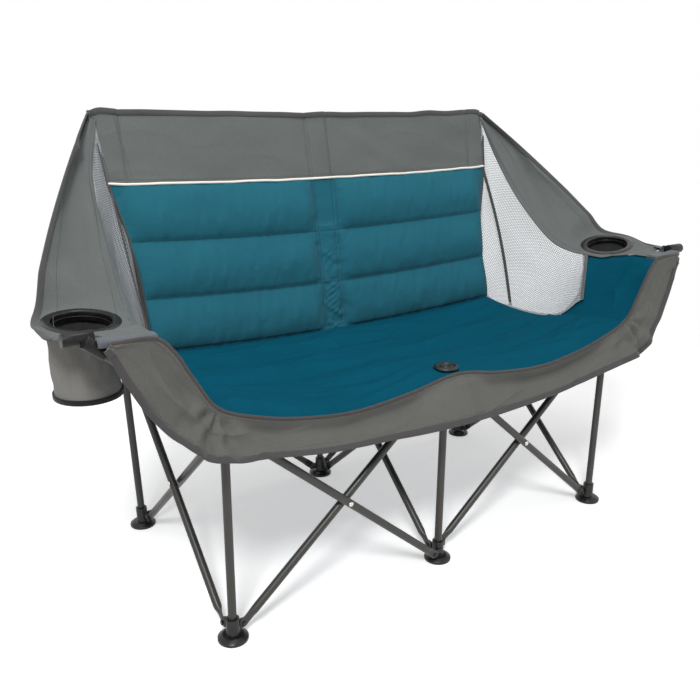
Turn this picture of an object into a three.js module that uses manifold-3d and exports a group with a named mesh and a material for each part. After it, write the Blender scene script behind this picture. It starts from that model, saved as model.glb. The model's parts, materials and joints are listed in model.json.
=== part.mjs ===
// Folding camping loveseat: six feet, seven scissor pairs, a fabric seat with back, arms and cup holders.
// Millimetres: +X to the right seen from the front, +Y from the front to the back, +Z up.
import * as THREE from 'three';
import { mergeVertices } from 'three/addons/utils/BufferGeometryUtils.js';
import Module from 'manifold-3d';

const wasm = await Module();
wasm.setup();

// One square grid of feet, so that every scissor pair is alike
const PITCH = 490;

// The cloth is drawn for one pitch of feet and spreads with it
const PATTERN_PITCH = 490;
const SPREAD = PITCH / PATTERN_PITCH;

// Tubes, pins and lugs
const TUBE_R = 8;
const TUBE_WALL = 1.1;
const TUBE_SIDES = 10;
const PIN_SIDES = 8;
const FIT_GAP = 0.3;
const PIVOT_OFFSET = 22;
const FOOT_PIVOT_Z = 24;
const HUB_PIVOT_Z = 408;
const ARM_RISE = 589;
const LAYER = 2 * TUBE_R + 1;
const TAB_T = 5;
const TAB_HALF_W = 9;
const TAB_LENGTH = 34;
const PASSING_TAB_LENGTH = 66;
const TAB_FLAT = 0.4;
const PIN_R = 2.5;
const PIN_CLEARANCE = 0.4;
const HEAD_R = 5;
const HEAD_T = 2;
const LUG_T = 5;
const LUG_HALF_H = 7;

// Feet
const FOOT_R = 29;
const FOOT_BASE_T = 5;
const FOOT_SHOULDER_R = 20;
const FOOT_SHOULDER_Z = 11;
const SOCKET_R = 12.5;
const SOCKET_FLOOR_Z = 8;
const SOCKET_TOP_Z = 44;

// Posts: the front ones are hollow and hold the rods of the hubs, the rear ones lean out and back
const FRONT_POST_TOP = 392;
const BAND_TOP_Z = 927;
const POST_BELOW_BAND = 12;
const REAR_POST_TOP = BAND_TOP_Z - POST_BELOW_BAND;
const REAR_LEAN_OUT = 26;
const REAR_LEAN_BACK = 29.2;
const ROD_CLEARANCE = 0.4;
const ROD_LENGTH = 245;
const HUB_RING_R = 12.4;
const HUB_RING_TOP = 410;
const COLLAR_RING_R = 13.5;
const HUB_HALF_H = 9;
const HUB_KNOB_R = 7;
const HUB_KNOB_TOP = 436;
const COLLAR_TRAVEL = 201;
const COLLAR_CLEARANCE = 1.3;
const PLUG_R = 9;
const PLUG_H = 8;

// Fabric
const CLOTH_T = 3;
const SEAT_T_EDGE = 4;
const SEAT_T_CROWN = 14;
const SEAT_CHANNELS = 6;
const SEAT_CHANNEL_DEPTH = 3;
const BACK_T_SEAM = 8;
const BACK_T_CROWN = 24;
const BACK_STRIP_HALF_W = 30;
const BAND_T = 5;
const SKIRT_Y = -279;
const RIM_Y = -276.7;

// Cup holders, arm tips and the seat button
const CUP_X = 666 * SPREAD;
const CUP_Y = -86 * SPREAD;
const CUP_Z = { left: 598, right: 607 };
const CUP_TILT_IN = { left: 0.04, right: 0.24 };
const CUP_TILT_FORWARD = 0.1;
const CUP_FLANGE_R = 65.5;
const CUP_FLANGE_T = 6;
const CUP_MOUTH_R = 49;
const CUP_WALL = 3;
const CUP_SKIRT_H = 16;
const POUCH_R = 59;
const POUCH_BOTTOM_R = 56.5;
const POUCH_H = 124;
const POUCH_WALL = 2.5;
const TIP_BARREL_R = 11;
const TIP_BARREL_L = 46;
const TIP_BARREL_OUT = 8;
const TIP_BARREL_UP = 3;
const TIP_TAB_DROP = 4;
const TIP_SOCKET_WALL = 2.4;
const TIP_SOCKET_L = 34;
const TIP_TAB = { width: 26, length: 46, thickness: 3, eyelet: 6, rise: 1.5 };
const BUTTON_R = 26;
const BUTTON_T = 5;
const BUTTON_STEM_R = 6;
const BUTTON_Z = 446;
const SEAT_EYELET_R = 7.5;

// Worked out from the frame
const ROW_Y = PITCH / 2;
const RUN = PITCH - 2 * PIVOT_OFFSET;
const RISE = HUB_PIVOT_Z - FOOT_PIVOT_Z;
const TUBE_L = Math.hypot(RUN, RISE);
const TUBE_ANGLE = Math.atan2(RISE, RUN);
const LONG_TUBE_L = ARM_RISE / Math.sin(TUBE_ANGLE);
const UP = new THREE.Vector3(0, 0, 1);
const V = (x, y, z) => new THREE.Vector3(x, y, z);

// Colours of the materials
const GUNMETAL = { color: 0x3c3c38, roughness: 0.35, metalness: 0.8 };
const BLACK_PLASTIC = { color: 0x131313, roughness: 0.3, metalness: 0 };
const BRIGHT_METAL = { color: 0xd8d8d4, roughness: 0.3, metalness: 0.9 };
const TEAL = { color: 0x2b6b80, roughness: 0.85, metalness: 0 };
const GREY = { color: 0x6e706e, roughness: 0.9, metalness: 0 };
const MESH_GREY = { color: 0xc8cdcf, roughness: 0.95, metalness: 0 };

const loveseat = new THREE.Group();

function addPart(name, geometry, look) {
  const mesh = new THREE.Mesh(geometry, new THREE.MeshStandardMaterial(look));
  mesh.name = name;
  loveseat.add(mesh);
  return mesh;
}

// Merge shared points, drop empty triangles and turn the faces outward
function weld(source) {
  const bare = source.clone();
  for (const key of Object.keys(bare.attributes)) {
    if (key !== 'position') bare.deleteAttribute(key);
  }
  const merged = mergeVertices(bare, 1e-4);
  const index = merged.index.array;
  const p = merged.attributes.position;
  const [a, b, c] = [V(), V(), V()];
  const kept = [];
  let volume = 0;
  for (let i = 0; i < index.length; i += 3) {
    const [i0, i1, i2] = [index[i], index[i + 1], index[i + 2]];
    if (i0 === i1 || i1 === i2 || i2 === i0) continue;
    a.fromBufferAttribute(p, i0);
    b.fromBufferAttribute(p, i1);
    c.fromBufferAttribute(p, i2);
    volume += a.dot(b.cross(c));
    kept.push(i0, i1, i2);
  }
  if (volume < 0) kept.reverse();
  merged.setIndex(kept);
  return merged;
}

function solid(geometry) {
  const g = weld(geometry);
  return new wasm.Manifold(new wasm.Mesh({
    numProp: 3,
    vertProperties: new Float32Array(g.attributes.position.array),
    triVerts: new Uint32Array(g.index.array),
  }));
}

function unsolid(manifold) {
  const m = manifold.getMesh();
  const g = new THREE.BufferGeometry();
  g.setAttribute('position', new THREE.BufferAttribute(new Float32Array(m.vertProperties), 3));
  g.setIndex(new THREE.BufferAttribute(new Uint32Array(m.triVerts), 1));
  return g;
}

function join(geometries, cuts = []) {
  let whole = solid(geometries[0]);
  for (const g of geometries.slice(1)) whole = whole.add(solid(g));
  for (const g of cuts) whole = whole.subtract(solid(g));
  return unsolid(whole);
}

// A cylinder from one point to another
function rod(from, to, radius, sides = 16, radiusTo = radius) {
  const length = from.distanceTo(to);
  const g = new THREE.CylinderGeometry(radiusTo, radius, length, sides);
  const turn = new THREE.Quaternion().setFromUnitVectors(V(0, 1, 0), to.clone().sub(from).normalize());
  g.applyQuaternion(turn);
  const middle = from.clone().lerp(to, 0.5);
  return g.translate(middle.x, middle.y, middle.z);
}

function block(low, high) {
  const size = high.clone().sub(low);
  const middle = low.clone().lerp(high, 0.5);
  return new THREE.BoxGeometry(size.x, size.y, size.z).translate(middle.x, middle.y, middle.z);
}

// A turned shape about a vertical axis
function turned(profile, sides, x = 0, y = 0, z = 0) {
  const points = profile.map(([r, h]) => new THREE.Vector2(r, h));
  return new THREE.LatheGeometry(points, sides).rotateX(Math.PI / 2).translate(x, y, z);
}

// Rings of equal length, skinned and closed with a fan at each end
function skinned(rings) {
  const count = rings[0].length;
  const points = rings.flat();
  const faces = [];
  for (let i = 0; i + 1 < rings.length; i += 1) {
    for (let j = 0; j < count; j += 1) {
      const k = (j + 1) % count;
      const [a, b, c, d] = [i * count + j, i * count + k, (i + 1) * count + k, (i + 1) * count + j];
      faces.push(a, b, c, a, c, d);
    }
  }
  for (const [i, flip] of [[0, true], [rings.length - 1, false]]) {
    const centre = points.length;
    points.push(rings[i].reduce((s, p) => s.add(p), V()).divideScalar(count));
    for (let j = 0; j < count; j += 1) {
      const [a, b] = [i * count + j, i * count + ((j + 1) % count)];
      faces.push(...(flip ? [centre, b, a] : [centre, a, b]));
    }
  }
  const g = new THREE.BufferGeometry().setFromPoints(points);
  g.setIndex(faces);
  return weld(g);
}

// A padded sheet: a grid over a surface, thickened along its normals
function sheet(surface, columns, rows, thickness) {
  const step = 1e-3;
  const sides = [[], []];
  for (let i = 0; i <= rows; i += 1) {
    for (let j = 0; j <= columns; j += 1) {
      const [u, v] = [j / columns, i / rows];
      const along = surface(Math.min(u + step, 1), v).sub(surface(Math.max(u - step, 0), v));
      const across = surface(u, Math.min(v + step, 1)).sub(surface(u, Math.max(v - step, 0)));
      const normal = along.cross(across).normalize();
      const half = thickness(u, v) / 2;
      sides[0].push(surface(u, v).addScaledVector(normal, half));
      sides[1].push(surface(u, v).addScaledVector(normal, -half));
    }
  }
  const width = columns + 1;
  const total = width * (rows + 1);
  const faces = [];
  const quad = (a, b, c, d) => faces.push(a, b, c, a, c, d);
  for (let i = 0; i < rows; i += 1) {
    for (let j = 0; j < columns; j += 1) {
      const a = i * width + j;
      quad(a, a + 1, a + width + 1, a + width);
      quad(total + a + width, total + a + width + 1, total + a + 1, total + a);
    }
  }
  const border = [];
  for (let j = 0; j < columns; j += 1) border.push(j);
  for (let i = 0; i < rows; i += 1) border.push(i * width + columns);
  for (let j = columns; j > 0; j -= 1) border.push(rows * width + j);
  for (let i = rows; i > 0; i -= 1) border.push(i * width);
  border.forEach((a, n) => {
    const b = border[(n + 1) % border.length];
    quad(b, a, total + a, total + b);
  });
  const g = new THREE.BufferGeometry().setFromPoints([...sides[0], ...sides[1]]);
  g.setIndex(faces);
  return weld(g);
}

// A surface ruled between two smooth curves through listed points
function ruled(first, second, mirror = 1) {
  const curves = [first, second].map((list) => smoothLine(spread(list, mirror)));
  return (u, v) => curves[0].getPoint(u).lerp(curves[1].getPoint(u), v);
}

// Points of the cloth's drawing, spread to the pitch of the feet
function spread(list, mirror = 1) {
  return list.map(([x, y, z]) => V(mirror * x * SPREAD, y * SPREAD, z));
}

function smoothLine(points) {
  return new THREE.CatmullRomCurve3(points, false, 'centripetal');
}

// Feet stand on a grid: column -1, 0, 1 and row -1 (front), 1 (rear)
const COLUMNS = { left: -1, center: 0, right: 1 };
const ROWS = { front: -1, rear: 1 };

function standAt(row, column) {
  return V(COLUMNS[column] * PITCH, ROWS[row] * ROW_Y, 0);
}

function leanOf(row, column) {
  return row === 'front' ? V() : V(COLUMNS[column] * REAR_LEAN_OUT, REAR_LEAN_BACK, 0);
}

// Where the post's axis is at a height
function postPoint(row, column, z) {
  return standAt(row, column).addScaledVector(leanOf(row, column), z / REAR_POST_TOP).setZ(z);
}

// Scissor tubes: foot it stands in, hub it reaches, and its place across the pair's plane
const HALF_LAYER = LAYER / 2;
const [FC, FL, FR] = ['center', 'left', 'right'].map((column) => ['front', column]);
const [RC, RL, RR] = ['center', 'left', 'right'].map((column) => ['rear', column]);
const TUBES = [
  { name: 'front_left_long_tube', from: FC, to: FL, layer: -LAYER, long: true },
  { name: 'front_left_short_tube', from: FL, to: FC, layer: 0 },
  { name: 'front_right_long_tube', from: FC, to: FR, layer: LAYER, long: true },
  { name: 'front_right_short_tube', from: FR, to: FC, layer: 0 },
  { name: 'rear_left_outward_tube', from: RC, to: RL, layer: HALF_LAYER },
  { name: 'rear_left_inward_tube', from: RL, to: RC, layer: -HALF_LAYER },
  { name: 'rear_right_outward_tube', from: RC, to: RR, layer: HALF_LAYER },
  { name: 'rear_right_inward_tube', from: RR, to: RC, layer: -HALF_LAYER },
  { name: 'side_left_rearward_tube', from: FL, to: RL, layer: -HALF_LAYER },
  { name: 'side_left_forward_tube', from: RL, to: FL, layer: HALF_LAYER },
  { name: 'side_right_rearward_tube', from: FR, to: RR, layer: -HALF_LAYER },
  { name: 'side_right_forward_tube', from: RR, to: FR, layer: HALF_LAYER },
  { name: 'middle_rearward_tube', from: FC, to: RC, layer: -HALF_LAYER },
  { name: 'middle_forward_tube', from: RC, to: FC, layer: HALF_LAYER },
];
const tubeNamed = (name) => TUBES.find((tube) => tube.name === name);
const PAIRS = [
  ['rivet_front_left', 'front_left_long_tube', 'front_left_short_tube'],
  ['rivet_front_right', 'front_right_long_tube', 'front_right_short_tube'],
  ['rivet_rear_left', 'rear_left_outward_tube', 'rear_left_inward_tube'],
  ['rivet_rear_right', 'rear_right_outward_tube', 'rear_right_inward_tube'],
  ['rivet_side_left', 'side_left_rearward_tube', 'side_left_forward_tube'],
  ['rivet_side_right', 'side_right_rearward_tube', 'side_right_forward_tube'],
  ['rivet_middle', 'middle_rearward_tube', 'middle_forward_tube'],
];

// Plan direction from one foot to another, and the axis square to the pair's plane
function planDirection(from, to) {
  return standAt(...to).sub(standAt(...from)).normalize();
}

function planeNormal(direction) {
  return Math.abs(direction.x) > 0.5 ? V(0, 1, 0) : V(1, 0, 0);
}

// A point on a tube's axis, at a distance from its lower pivot
function tubePoint(tube, distance) {
  const direction = planDirection(tube.from, tube.to);
  return standAt(...tube.from)
    .addScaledVector(direction, PIVOT_OFFSET + distance * Math.cos(TUBE_ANGLE))
    .addScaledVector(planeNormal(direction), tube.layer)
    .setZ(FOOT_PIVOT_Z + distance * Math.sin(TUBE_ANGLE));
}

// A tube, pressed flat where it is pinned to a foot or a hub and drilled at each pivot
function scissorTube(tube) {
  const direction = planDirection(tube.from, tube.to);
  const normal = planeNormal(direction);
  const along = tubePoint(tube, 1).sub(tubePoint(tube, 0)).normalize();
  const across = along.clone().cross(normal);
  const end = tube.long ? LONG_TUBE_L : TUBE_L + TAB_HALF_W;
  const flats = [
    { s: 0, reach: TAB_LENGTH },
    { s: TUBE_L, reach: tube.long ? PASSING_TAB_LENGTH : TAB_LENGTH },
  ];
  const stops = new Set([-TAB_HALF_W, -TAB_HALF_W * 0.6, end]);
  for (const flat of flats) {
    for (const offset of [-1, -TAB_FLAT, TAB_FLAT, 1]) {
      const s = flat.s + offset * flat.reach;
      if (s > -TAB_HALF_W * 0.6 && s < end) stops.add(s);
    }
  }
  if (!tube.long) stops.add(TUBE_L + TAB_HALF_W * 0.6);
  const rings = [...stops].sort((p, q) => p - q).map((s) => {
    const flat = s < TUBE_L / 2 ? flats[0] : flats[1];
    const near = Math.abs(s - flat.s);
    const ease = THREE.MathUtils.smoothstep(near, flat.reach * TAB_FLAT, flat.reach);
    const halfT = THREE.MathUtils.lerp(TAB_T / 2, TUBE_R, ease);
    const round = s < 0 || (!tube.long && s > TUBE_L);
    const tip = round ? Math.sqrt(1 - Math.min(1, (near / TAB_HALF_W) ** 2) * 0.8) : 1;
    const halfW = THREE.MathUtils.lerp(TAB_HALF_W, TUBE_R, ease) * tip;
    const centre = tubePoint(tube, s);
    return Array.from({ length: TUBE_SIDES }, (_, k) => {
      const angle = (k / TUBE_SIDES) * 2 * Math.PI;
      return centre.clone()
        .addScaledVector(normal, halfT * Math.cos(angle))
        .addScaledVector(across, halfW * Math.sin(angle));
    });
  });
  const holes = [0, TUBE_L / 2, TUBE_L].map((s) => {
    const centre = tubePoint(tube, s);
    const reach = TUBE_R + 1;
    const [low, high] = [-reach, reach].map((d) => centre.clone().addScaledVector(normal, d));
    return rod(low, high, PIN_R + PIN_CLEARANCE, PIN_SIDES);
  });
  return join([skinned(rings)], holes);
}

for (const tube of TUBES) addPart(tube.name, scissorTube(tube), GUNMETAL);

for (const [name, one, other] of PAIRS) {
  const tubes = [one, other].map(tubeNamed);
  const normal = planeNormal(planDirection(tubes[0].from, tubes[0].to));
  const centre = tubePoint(tubes[0], TUBE_L / 2).addScaledVector(normal, -tubes[0].layer);
  const reach = TUBE_R + FIT_GAP;
  const low = Math.min(tubes[0].layer, tubes[1].layer) - reach;
  const high = Math.max(tubes[0].layer, tubes[1].layer) + reach;
  const at = (d) => centre.clone().addScaledVector(normal, d);
  addPart(name, join([
    rod(at(low - HEAD_T / 2), at(high + HEAD_T / 2), PIN_R, PIN_SIDES),
    rod(at(low - HEAD_T), at(low), HEAD_R, PIN_SIDES),
    rod(at(high), at(high + HEAD_T), HEAD_R, PIN_SIDES),
  ]), BRIGHT_METAL);
}

// The lugs and pins that carry the tubes ending at one foot or hub
function lugs(place, end, pivotZ) {
  const shapes = [];
  for (const tube of TUBES) {
    if (tube[end].join() !== place.join()) continue;
    const other = end === 'from' ? tube.to : tube.from;
    const direction = planDirection(place, other);
    const normal = planeNormal(direction);
    const side = tube.layer === 0 ? -1 : Math.sign(tube.layer);
    const base = standAt(...place);
    const at = (d, n, z) => base.clone().addScaledVector(direction, d).addScaledVector(normal, n).setZ(z);
    const inner = tube.layer - side * (TAB_T / 2 + FIT_GAP);
    const outer = tube.layer + side * (TAB_T / 2 + FIT_GAP);
    const corners = [
      at(0, inner - side * LUG_T, pivotZ - LUG_HALF_H),
      at(PIVOT_OFFSET + LUG_HALF_H, inner, pivotZ + LUG_HALF_H),
    ];
    shapes.push(block(corners[0].clone().min(corners[1]), corners[0].clone().max(corners[1])));
    shapes.push(rod(
      at(PIVOT_OFFSET, inner - side * LUG_T / 2, pivotZ),
      at(PIVOT_OFFSET, outer + side * HEAD_T / 2, pivotZ),
      PIN_R,
      PIN_SIDES,
    ));
    shapes.push(rod(
      at(PIVOT_OFFSET, outer, pivotZ),
      at(PIVOT_OFFSET, outer + side * HEAD_T, pivotZ),
      HEAD_R,
      PIN_SIDES,
    ));
  }
  return shapes;
}

for (const row of Object.keys(ROWS)) {
  for (const column of Object.keys(COLUMNS)) {
    const place = [row, column];
    const base = standAt(row, column);
    const lean = postPoint(row, column, 1).sub(base).normalize();
    const along = (z) => base.clone().addScaledVector(lean, z / lean.z);

    const pad = turned([
      [0, 0], [FOOT_R, 0], [FOOT_R, FOOT_BASE_T], [FOOT_SHOULDER_R, FOOT_SHOULDER_Z], [0, FOOT_SHOULDER_Z],
    ], 24, base.x, base.y);
    const socket = rod(along(SOCKET_FLOOR_Z), along(SOCKET_TOP_Z), SOCKET_R, 16);
    const bore = rod(along(SOCKET_FLOOR_Z), along(SOCKET_TOP_Z + SOCKET_R), TUBE_R + FIT_GAP, 12);
    const foot = join([pad, socket, ...lugs(place, 'from', FOOT_PIVOT_Z)], [bore]);
    addPart(`foot_${row}_${column}`, foot, BLACK_PLASTIC);

    const front = row === 'front';
    const top = front ? FRONT_POST_TOP : REAR_POST_TOP;
    const post = rod(along(SOCKET_FLOOR_Z + FIT_GAP), along(top), TUBE_R, 12);
    const hollow = rod(along(SOCKET_FLOOR_Z + TUBE_R), along(top + TUBE_R), TUBE_R - TUBE_WALL, 12);
    addPart(`post_${row}_${column}`, front ? join([post], [hollow]) : post, GUNMETAL);
  }
}

// Front hubs: a block on a rod that slides in the hollow post, under the seat's front rim
for (const column of Object.keys(COLUMNS)) {
  const at = (z) => standAt('front', column).setZ(z);
  const rodTop = HUB_PIVOT_Z - HUB_HALF_H;
  const stem = column === 'center';
  const topZ = stem ? BUTTON_Z - BUTTON_T - FIT_GAP : HUB_KNOB_TOP;
  addPart(`hub_front_${column}`, join([
    rod(at(rodTop), at(HUB_RING_TOP), HUB_RING_R, 16),
    rod(at(rodTop - ROD_LENGTH), at(rodTop + 1), TUBE_R - TUBE_WALL - ROD_CLEARANCE, 12),
    rod(at(HUB_PIVOT_Z), at(topZ), stem ? BUTTON_STEM_R : HUB_KNOB_R, 12),
    ...lugs(['front', column], 'to', HUB_PIVOT_Z),
  ]), BLACK_PLASTIC);
}

// Rear collars: the bore is drawn out along the lean, because a collar rises straight up a leaning post
for (const column of Object.keys(COLUMNS)) {
  const base = standAt('rear', column);
  const low = postPoint('rear', column, HUB_PIVOT_Z);
  const high = postPoint('rear', column, HUB_PIVOT_Z + COLLAR_TRAVEL);
  const level = (p, z) => p.clone().setZ(z);
  const bottom = HUB_PIVOT_Z - HUB_HALF_H;
  const top = HUB_PIVOT_Z + HUB_HALF_H;
  const boreR = TUBE_R + COLLAR_CLEARANCE;
  const drawn = (radius, from, to) => {
    const turn = high.clone().sub(low).setZ(0);
    const angle = Math.atan2(turn.y, turn.x);
    const shape = new THREE.Shape();
    shape.absarc(turn.length(), 0, radius, -Math.PI / 2, Math.PI / 2);
    shape.absarc(0, 0, radius, Math.PI / 2, 1.5 * Math.PI);
    const g = new THREE.ExtrudeGeometry(shape, { depth: to - from, bevelEnabled: false, curveSegments: 6 });
    return g.rotateZ(angle).translate(low.x, low.y, from);
  };
  const corners = [level(base, bottom), level(low, top)];
  const margin = V(3, 3, 0);
  const bridge = block(
    corners[0].clone().min(corners[1]).sub(margin),
    corners[0].clone().max(corners[1]).add(margin),
  );
  addPart(`collar_rear_${column}`, join(
    [drawn(COLLAR_RING_R, bottom, top), bridge, ...lugs(['rear', column], 'to', HUB_PIVOT_Z)],
    [drawn(boreR, bottom - 1, top + 1)],
  ), BLACK_PLASTIC);
  const lean = high.clone().sub(low).normalize();
  const seat = postPoint('rear', column, REAR_POST_TOP).addScaledVector(lean, FIT_GAP);
  const plug = turned([
    [0, 0], [PLUG_R, 0], [PLUG_R, PLUG_H * 0.5], [PLUG_R * 0.6, PLUG_H], [0, PLUG_H],
  ], 14);
  plug.applyQuaternion(new THREE.Quaternion().setFromUnitVectors(UP, lean));
  addPart(`post_plug_${column}`, plug.translate(seat.x, seat.y, seat.z), BLACK_PLASTIC);
}

// Arm tips: a barrel across the end of each long tube, with a socket for it and a flat tab behind
for (const [side, mirror] of [['left', -1], ['right', 1]]) {
  const tube = tubeNamed(`front_${side}_long_tube`);
  const endPoint = tubePoint(tube, LONG_TUBE_L + FIT_GAP);
  const mouth = tubePoint(tube, LONG_TUBE_L - TIP_SOCKET_L);
  const cap = tubePoint(tube, LONG_TUBE_L + FIT_GAP + TIP_SOCKET_WALL);
  const y = standAt('front', side).y;
  const middle = tubePoint(tube, LONG_TUBE_L).add(V(mirror * TIP_BARREL_OUT, 0, TIP_BARREL_UP)).setY(y);
  const tabZ = middle.z - TIP_TAB_DROP;
  const barrel = [-1, 1].map((d) => middle.clone().add(V(d * TIP_BARREL_L / 2, 0, 0)));
  const tabX = [-1, 1].map((d) => middle.x + d * TIP_TAB.width / 2);
  const tab = block(
    V(tabX[0], y, tabZ),
    V(tabX[1], y + TIP_TAB.length, tabZ + TIP_TAB.thickness),
  );
  const eyeletAt = V(middle.x, y + TIP_TAB.length * 0.62, tabZ);
  const eyeletTop = eyeletAt.clone().setZ(tabZ + TIP_TAB.thickness + TIP_TAB.rise);
  const eyelet = rod(eyeletAt, eyeletTop, TIP_TAB.eyelet, 16);
  addPart(`arm_tip_${side}`, join(
    [
      rod(barrel[0], barrel[1], TIP_BARREL_R, 20),
      rod(mouth, cap, TUBE_R + FIT_GAP + TIP_SOCKET_WALL, 16),
      tab,
      eyelet,
    ],
    [rod(mouth.clone().lerp(endPoint, -0.1), endPoint, TUBE_R + FIT_GAP, 16)],
  ), BLACK_PLASTIC);
}

// Cup rings, tipped with each arm's slope, and pouches that hang straight down from them
const cupSteep = (side) => Math.hypot(1, CUP_TILT_IN[side], CUP_TILT_FORWARD);
const cupNormal = (side, mirror) => V(-mirror * CUP_TILT_IN[side], -CUP_TILT_FORWARD, 1).normalize();
const cupSlope = (side, out, back) => CUP_TILT_IN[side] * out + CUP_TILT_FORWARD * back;

for (const [side, mirror] of [['left', -1], ['right', 1]]) {
  const flangeLow = -CUP_FLANGE_T / 2;
  const ring = turned([
    [CUP_MOUTH_R, -CUP_SKIRT_H], [CUP_MOUTH_R + CUP_WALL, -CUP_SKIRT_H], [CUP_MOUTH_R + CUP_WALL, flangeLow],
    [CUP_FLANGE_R, flangeLow], [CUP_FLANGE_R, 0], [CUP_FLANGE_R - 4, -flangeLow],
    [CUP_MOUTH_R + 2, -flangeLow], [CUP_MOUTH_R, -flangeLow - 2], [CUP_MOUTH_R, -CUP_SKIRT_H],
  ], 32);
  ring.applyQuaternion(new THREE.Quaternion().setFromUnitVectors(UP, cupNormal(side, mirror)));
  addPart(`cup_ring_${side}`, ring.translate(mirror * CUP_X, CUP_Y, CUP_Z[side]), BLACK_PLASTIC);
  const top = flangeLow * cupSteep(side) - FIT_GAP;
  const pouch = turned([
    [0, top - POUCH_H], [POUCH_BOTTOM_R, top - POUCH_H], [POUCH_R, top], [POUCH_R - POUCH_WALL, top],
    [POUCH_BOTTOM_R - POUCH_WALL, top - POUCH_H + POUCH_WALL], [0, top - POUCH_H + POUCH_WALL],
  ], 32);
  const p = pouch.attributes.position;
  for (let i = 0; i < p.count; i += 1) {
    const share = Math.max(0, (p.getZ(i) - top + POUCH_H - POUCH_WALL) / (POUCH_H - POUCH_WALL));
    p.setZ(i, p.getZ(i) + share * cupSlope(side, mirror * p.getX(i), p.getY(i)));
  }
  addPart(`cup_pouch_${side}`, pouch.translate(mirror * CUP_X, CUP_Y, CUP_Z[side]), GREY);
}

// Seat: a shallow hammock with the rim's dips, a thin edge and soft channels across
const SEAT_SIDE = smoothLine(spread([
  [502, RIM_Y, 466], [514, -152, 460], [500, -60, 434], [484, 40, 432], [470, 142, 447],
]));
const SEAT_MIDDLE = smoothLine(spread([
  [0, RIM_Y, 438], [0, -160, 424], [0, -60, 410], [0, 50, 410], [0, 170, 423],
]));
const RIM_DIP = 34;

function seatSurface(u, v) {
  const x = 2 * u - 1;
  const side = SEAT_SIDE.getPoint(v);
  const middle = SEAT_MIDDLE.getPoint(v);
  const share = Math.abs(x) ** 2.2;
  const dip = RIM_DIP * Math.sin(Math.PI * x) ** 2 * (1 - v) ** 2;
  const z = THREE.MathUtils.lerp(middle.z, side.z, share) - dip;
  return V(x * side.x, THREE.MathUtils.lerp(middle.y, side.y, share), z);
}

function seatThickness(u, v) {
  const edge = Math.min(u, 1 - u, v * 0.6, (1 - v) * 0.6) / 0.06;
  const crown = THREE.MathUtils.smoothstep(edge, 0, 1);
  const channel = SEAT_CHANNEL_DEPTH * Math.abs(Math.cos(Math.PI * SEAT_CHANNELS * v)) ** 6;
  return SEAT_T_EDGE + (SEAT_T_CROWN - SEAT_T_EDGE - channel) * crown;
}

const post = standAt('front', 'center');
const eyelet = rod(V(post.x, post.y, BUTTON_Z - 60), V(post.x, post.y, BUTTON_Z + 60), SEAT_EYELET_R, 16);
addPart('seat_pad', join([sheet(seatSurface, 18, 16, seatThickness)], [eyelet]), TEAL);
addPart('seat_button', turned([
  [0, 0], [BUTTON_R, 0], [BUTTON_R - 3, BUTTON_T], [0, BUTTON_T],
], 28, post.x, post.y, BUTTON_Z - BUTTON_T), BLACK_PLASTIC);

// Back: puffed channels between seams, with a flat strip over the middle post
const BACK_LOW = { y: 172, sideY: 144, z: 426, sideZ: 451, halfX: 473 };
const BACK_HIGH = { y: 234, sideY: 228, z: 782, sideZ: 793, halfX: 511 };
const BAND_HIGH = { y: 264, z: BAND_TOP_Z, sideZ: BAND_TOP_Z + 9, halfX: 529 };
const BACK_WAIST = 16;
const BACK_SEAMS = [0, 0.3, 0.65, 1];

function backSurface(u, v) {
  const x = 2 * u - 1;
  const mix = (a, b) => THREE.MathUtils.lerp(a, b, v);
  const bowed = (middle, side) => THREE.MathUtils.lerp(middle, side, x * x);
  const y = mix(bowed(BACK_LOW.y, BACK_LOW.sideY), bowed(BACK_HIGH.y, BACK_HIGH.sideY));
  const z = mix(bowed(BACK_LOW.z, BACK_LOW.sideZ), bowed(BACK_HIGH.z, BACK_HIGH.sideZ));
  const halfX = mix(BACK_LOW.halfX, BACK_HIGH.halfX) - BACK_WAIST * Math.sin(Math.PI * v);
  return V(x * halfX * SPREAD, y * SPREAD, z);
}

function backThickness(u, v) {
  const seam = BACK_SEAMS.findLastIndex((s) => s <= v);
  const low = BACK_SEAMS[Math.min(seam, BACK_SEAMS.length - 2)];
  const high = BACK_SEAMS[Math.min(seam, BACK_SEAMS.length - 2) + 1];
  const puff = Math.sqrt(Math.sin(Math.PI * Math.min(1, Math.max(0, (v - low) / (high - low)))));
  const x = Math.abs(2 * u - 1) * BACK_HIGH.halfX;
  const strip = THREE.MathUtils.smoothstep(x, BACK_STRIP_HALF_W, BACK_STRIP_HALF_W + 40);
  const side = THREE.MathUtils.smoothstep(BACK_HIGH.halfX - x, 0, 60);
  return BACK_T_SEAM + (BACK_T_CROWN - BACK_T_SEAM) * puff * (0.25 + 0.75 * strip) * side;
}

addPart('back_pad', sheet(backSurface, 18, 16, backThickness), TEAL);

// Top band of the back, sewn to the pad at the piping and hung on the rear posts
const BAND_SEAM = 0.45;

function bandSurface(u, v) {
  const x = 2 * u - 1;
  const low = backSurface(u, 1);
  const highZ = BAND_HIGH.z + (BAND_HIGH.sideZ - BAND_HIGH.z) * x * x;
  const high = V(x * BAND_HIGH.halfX * SPREAD, BAND_HIGH.y * SPREAD, highZ);
  return low.setZ(low.z + BAND_SEAM).lerp(high, v);
}

addPart('back_band', sheet(bandSurface, 12, 6, () => BAND_T), GREY);

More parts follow.
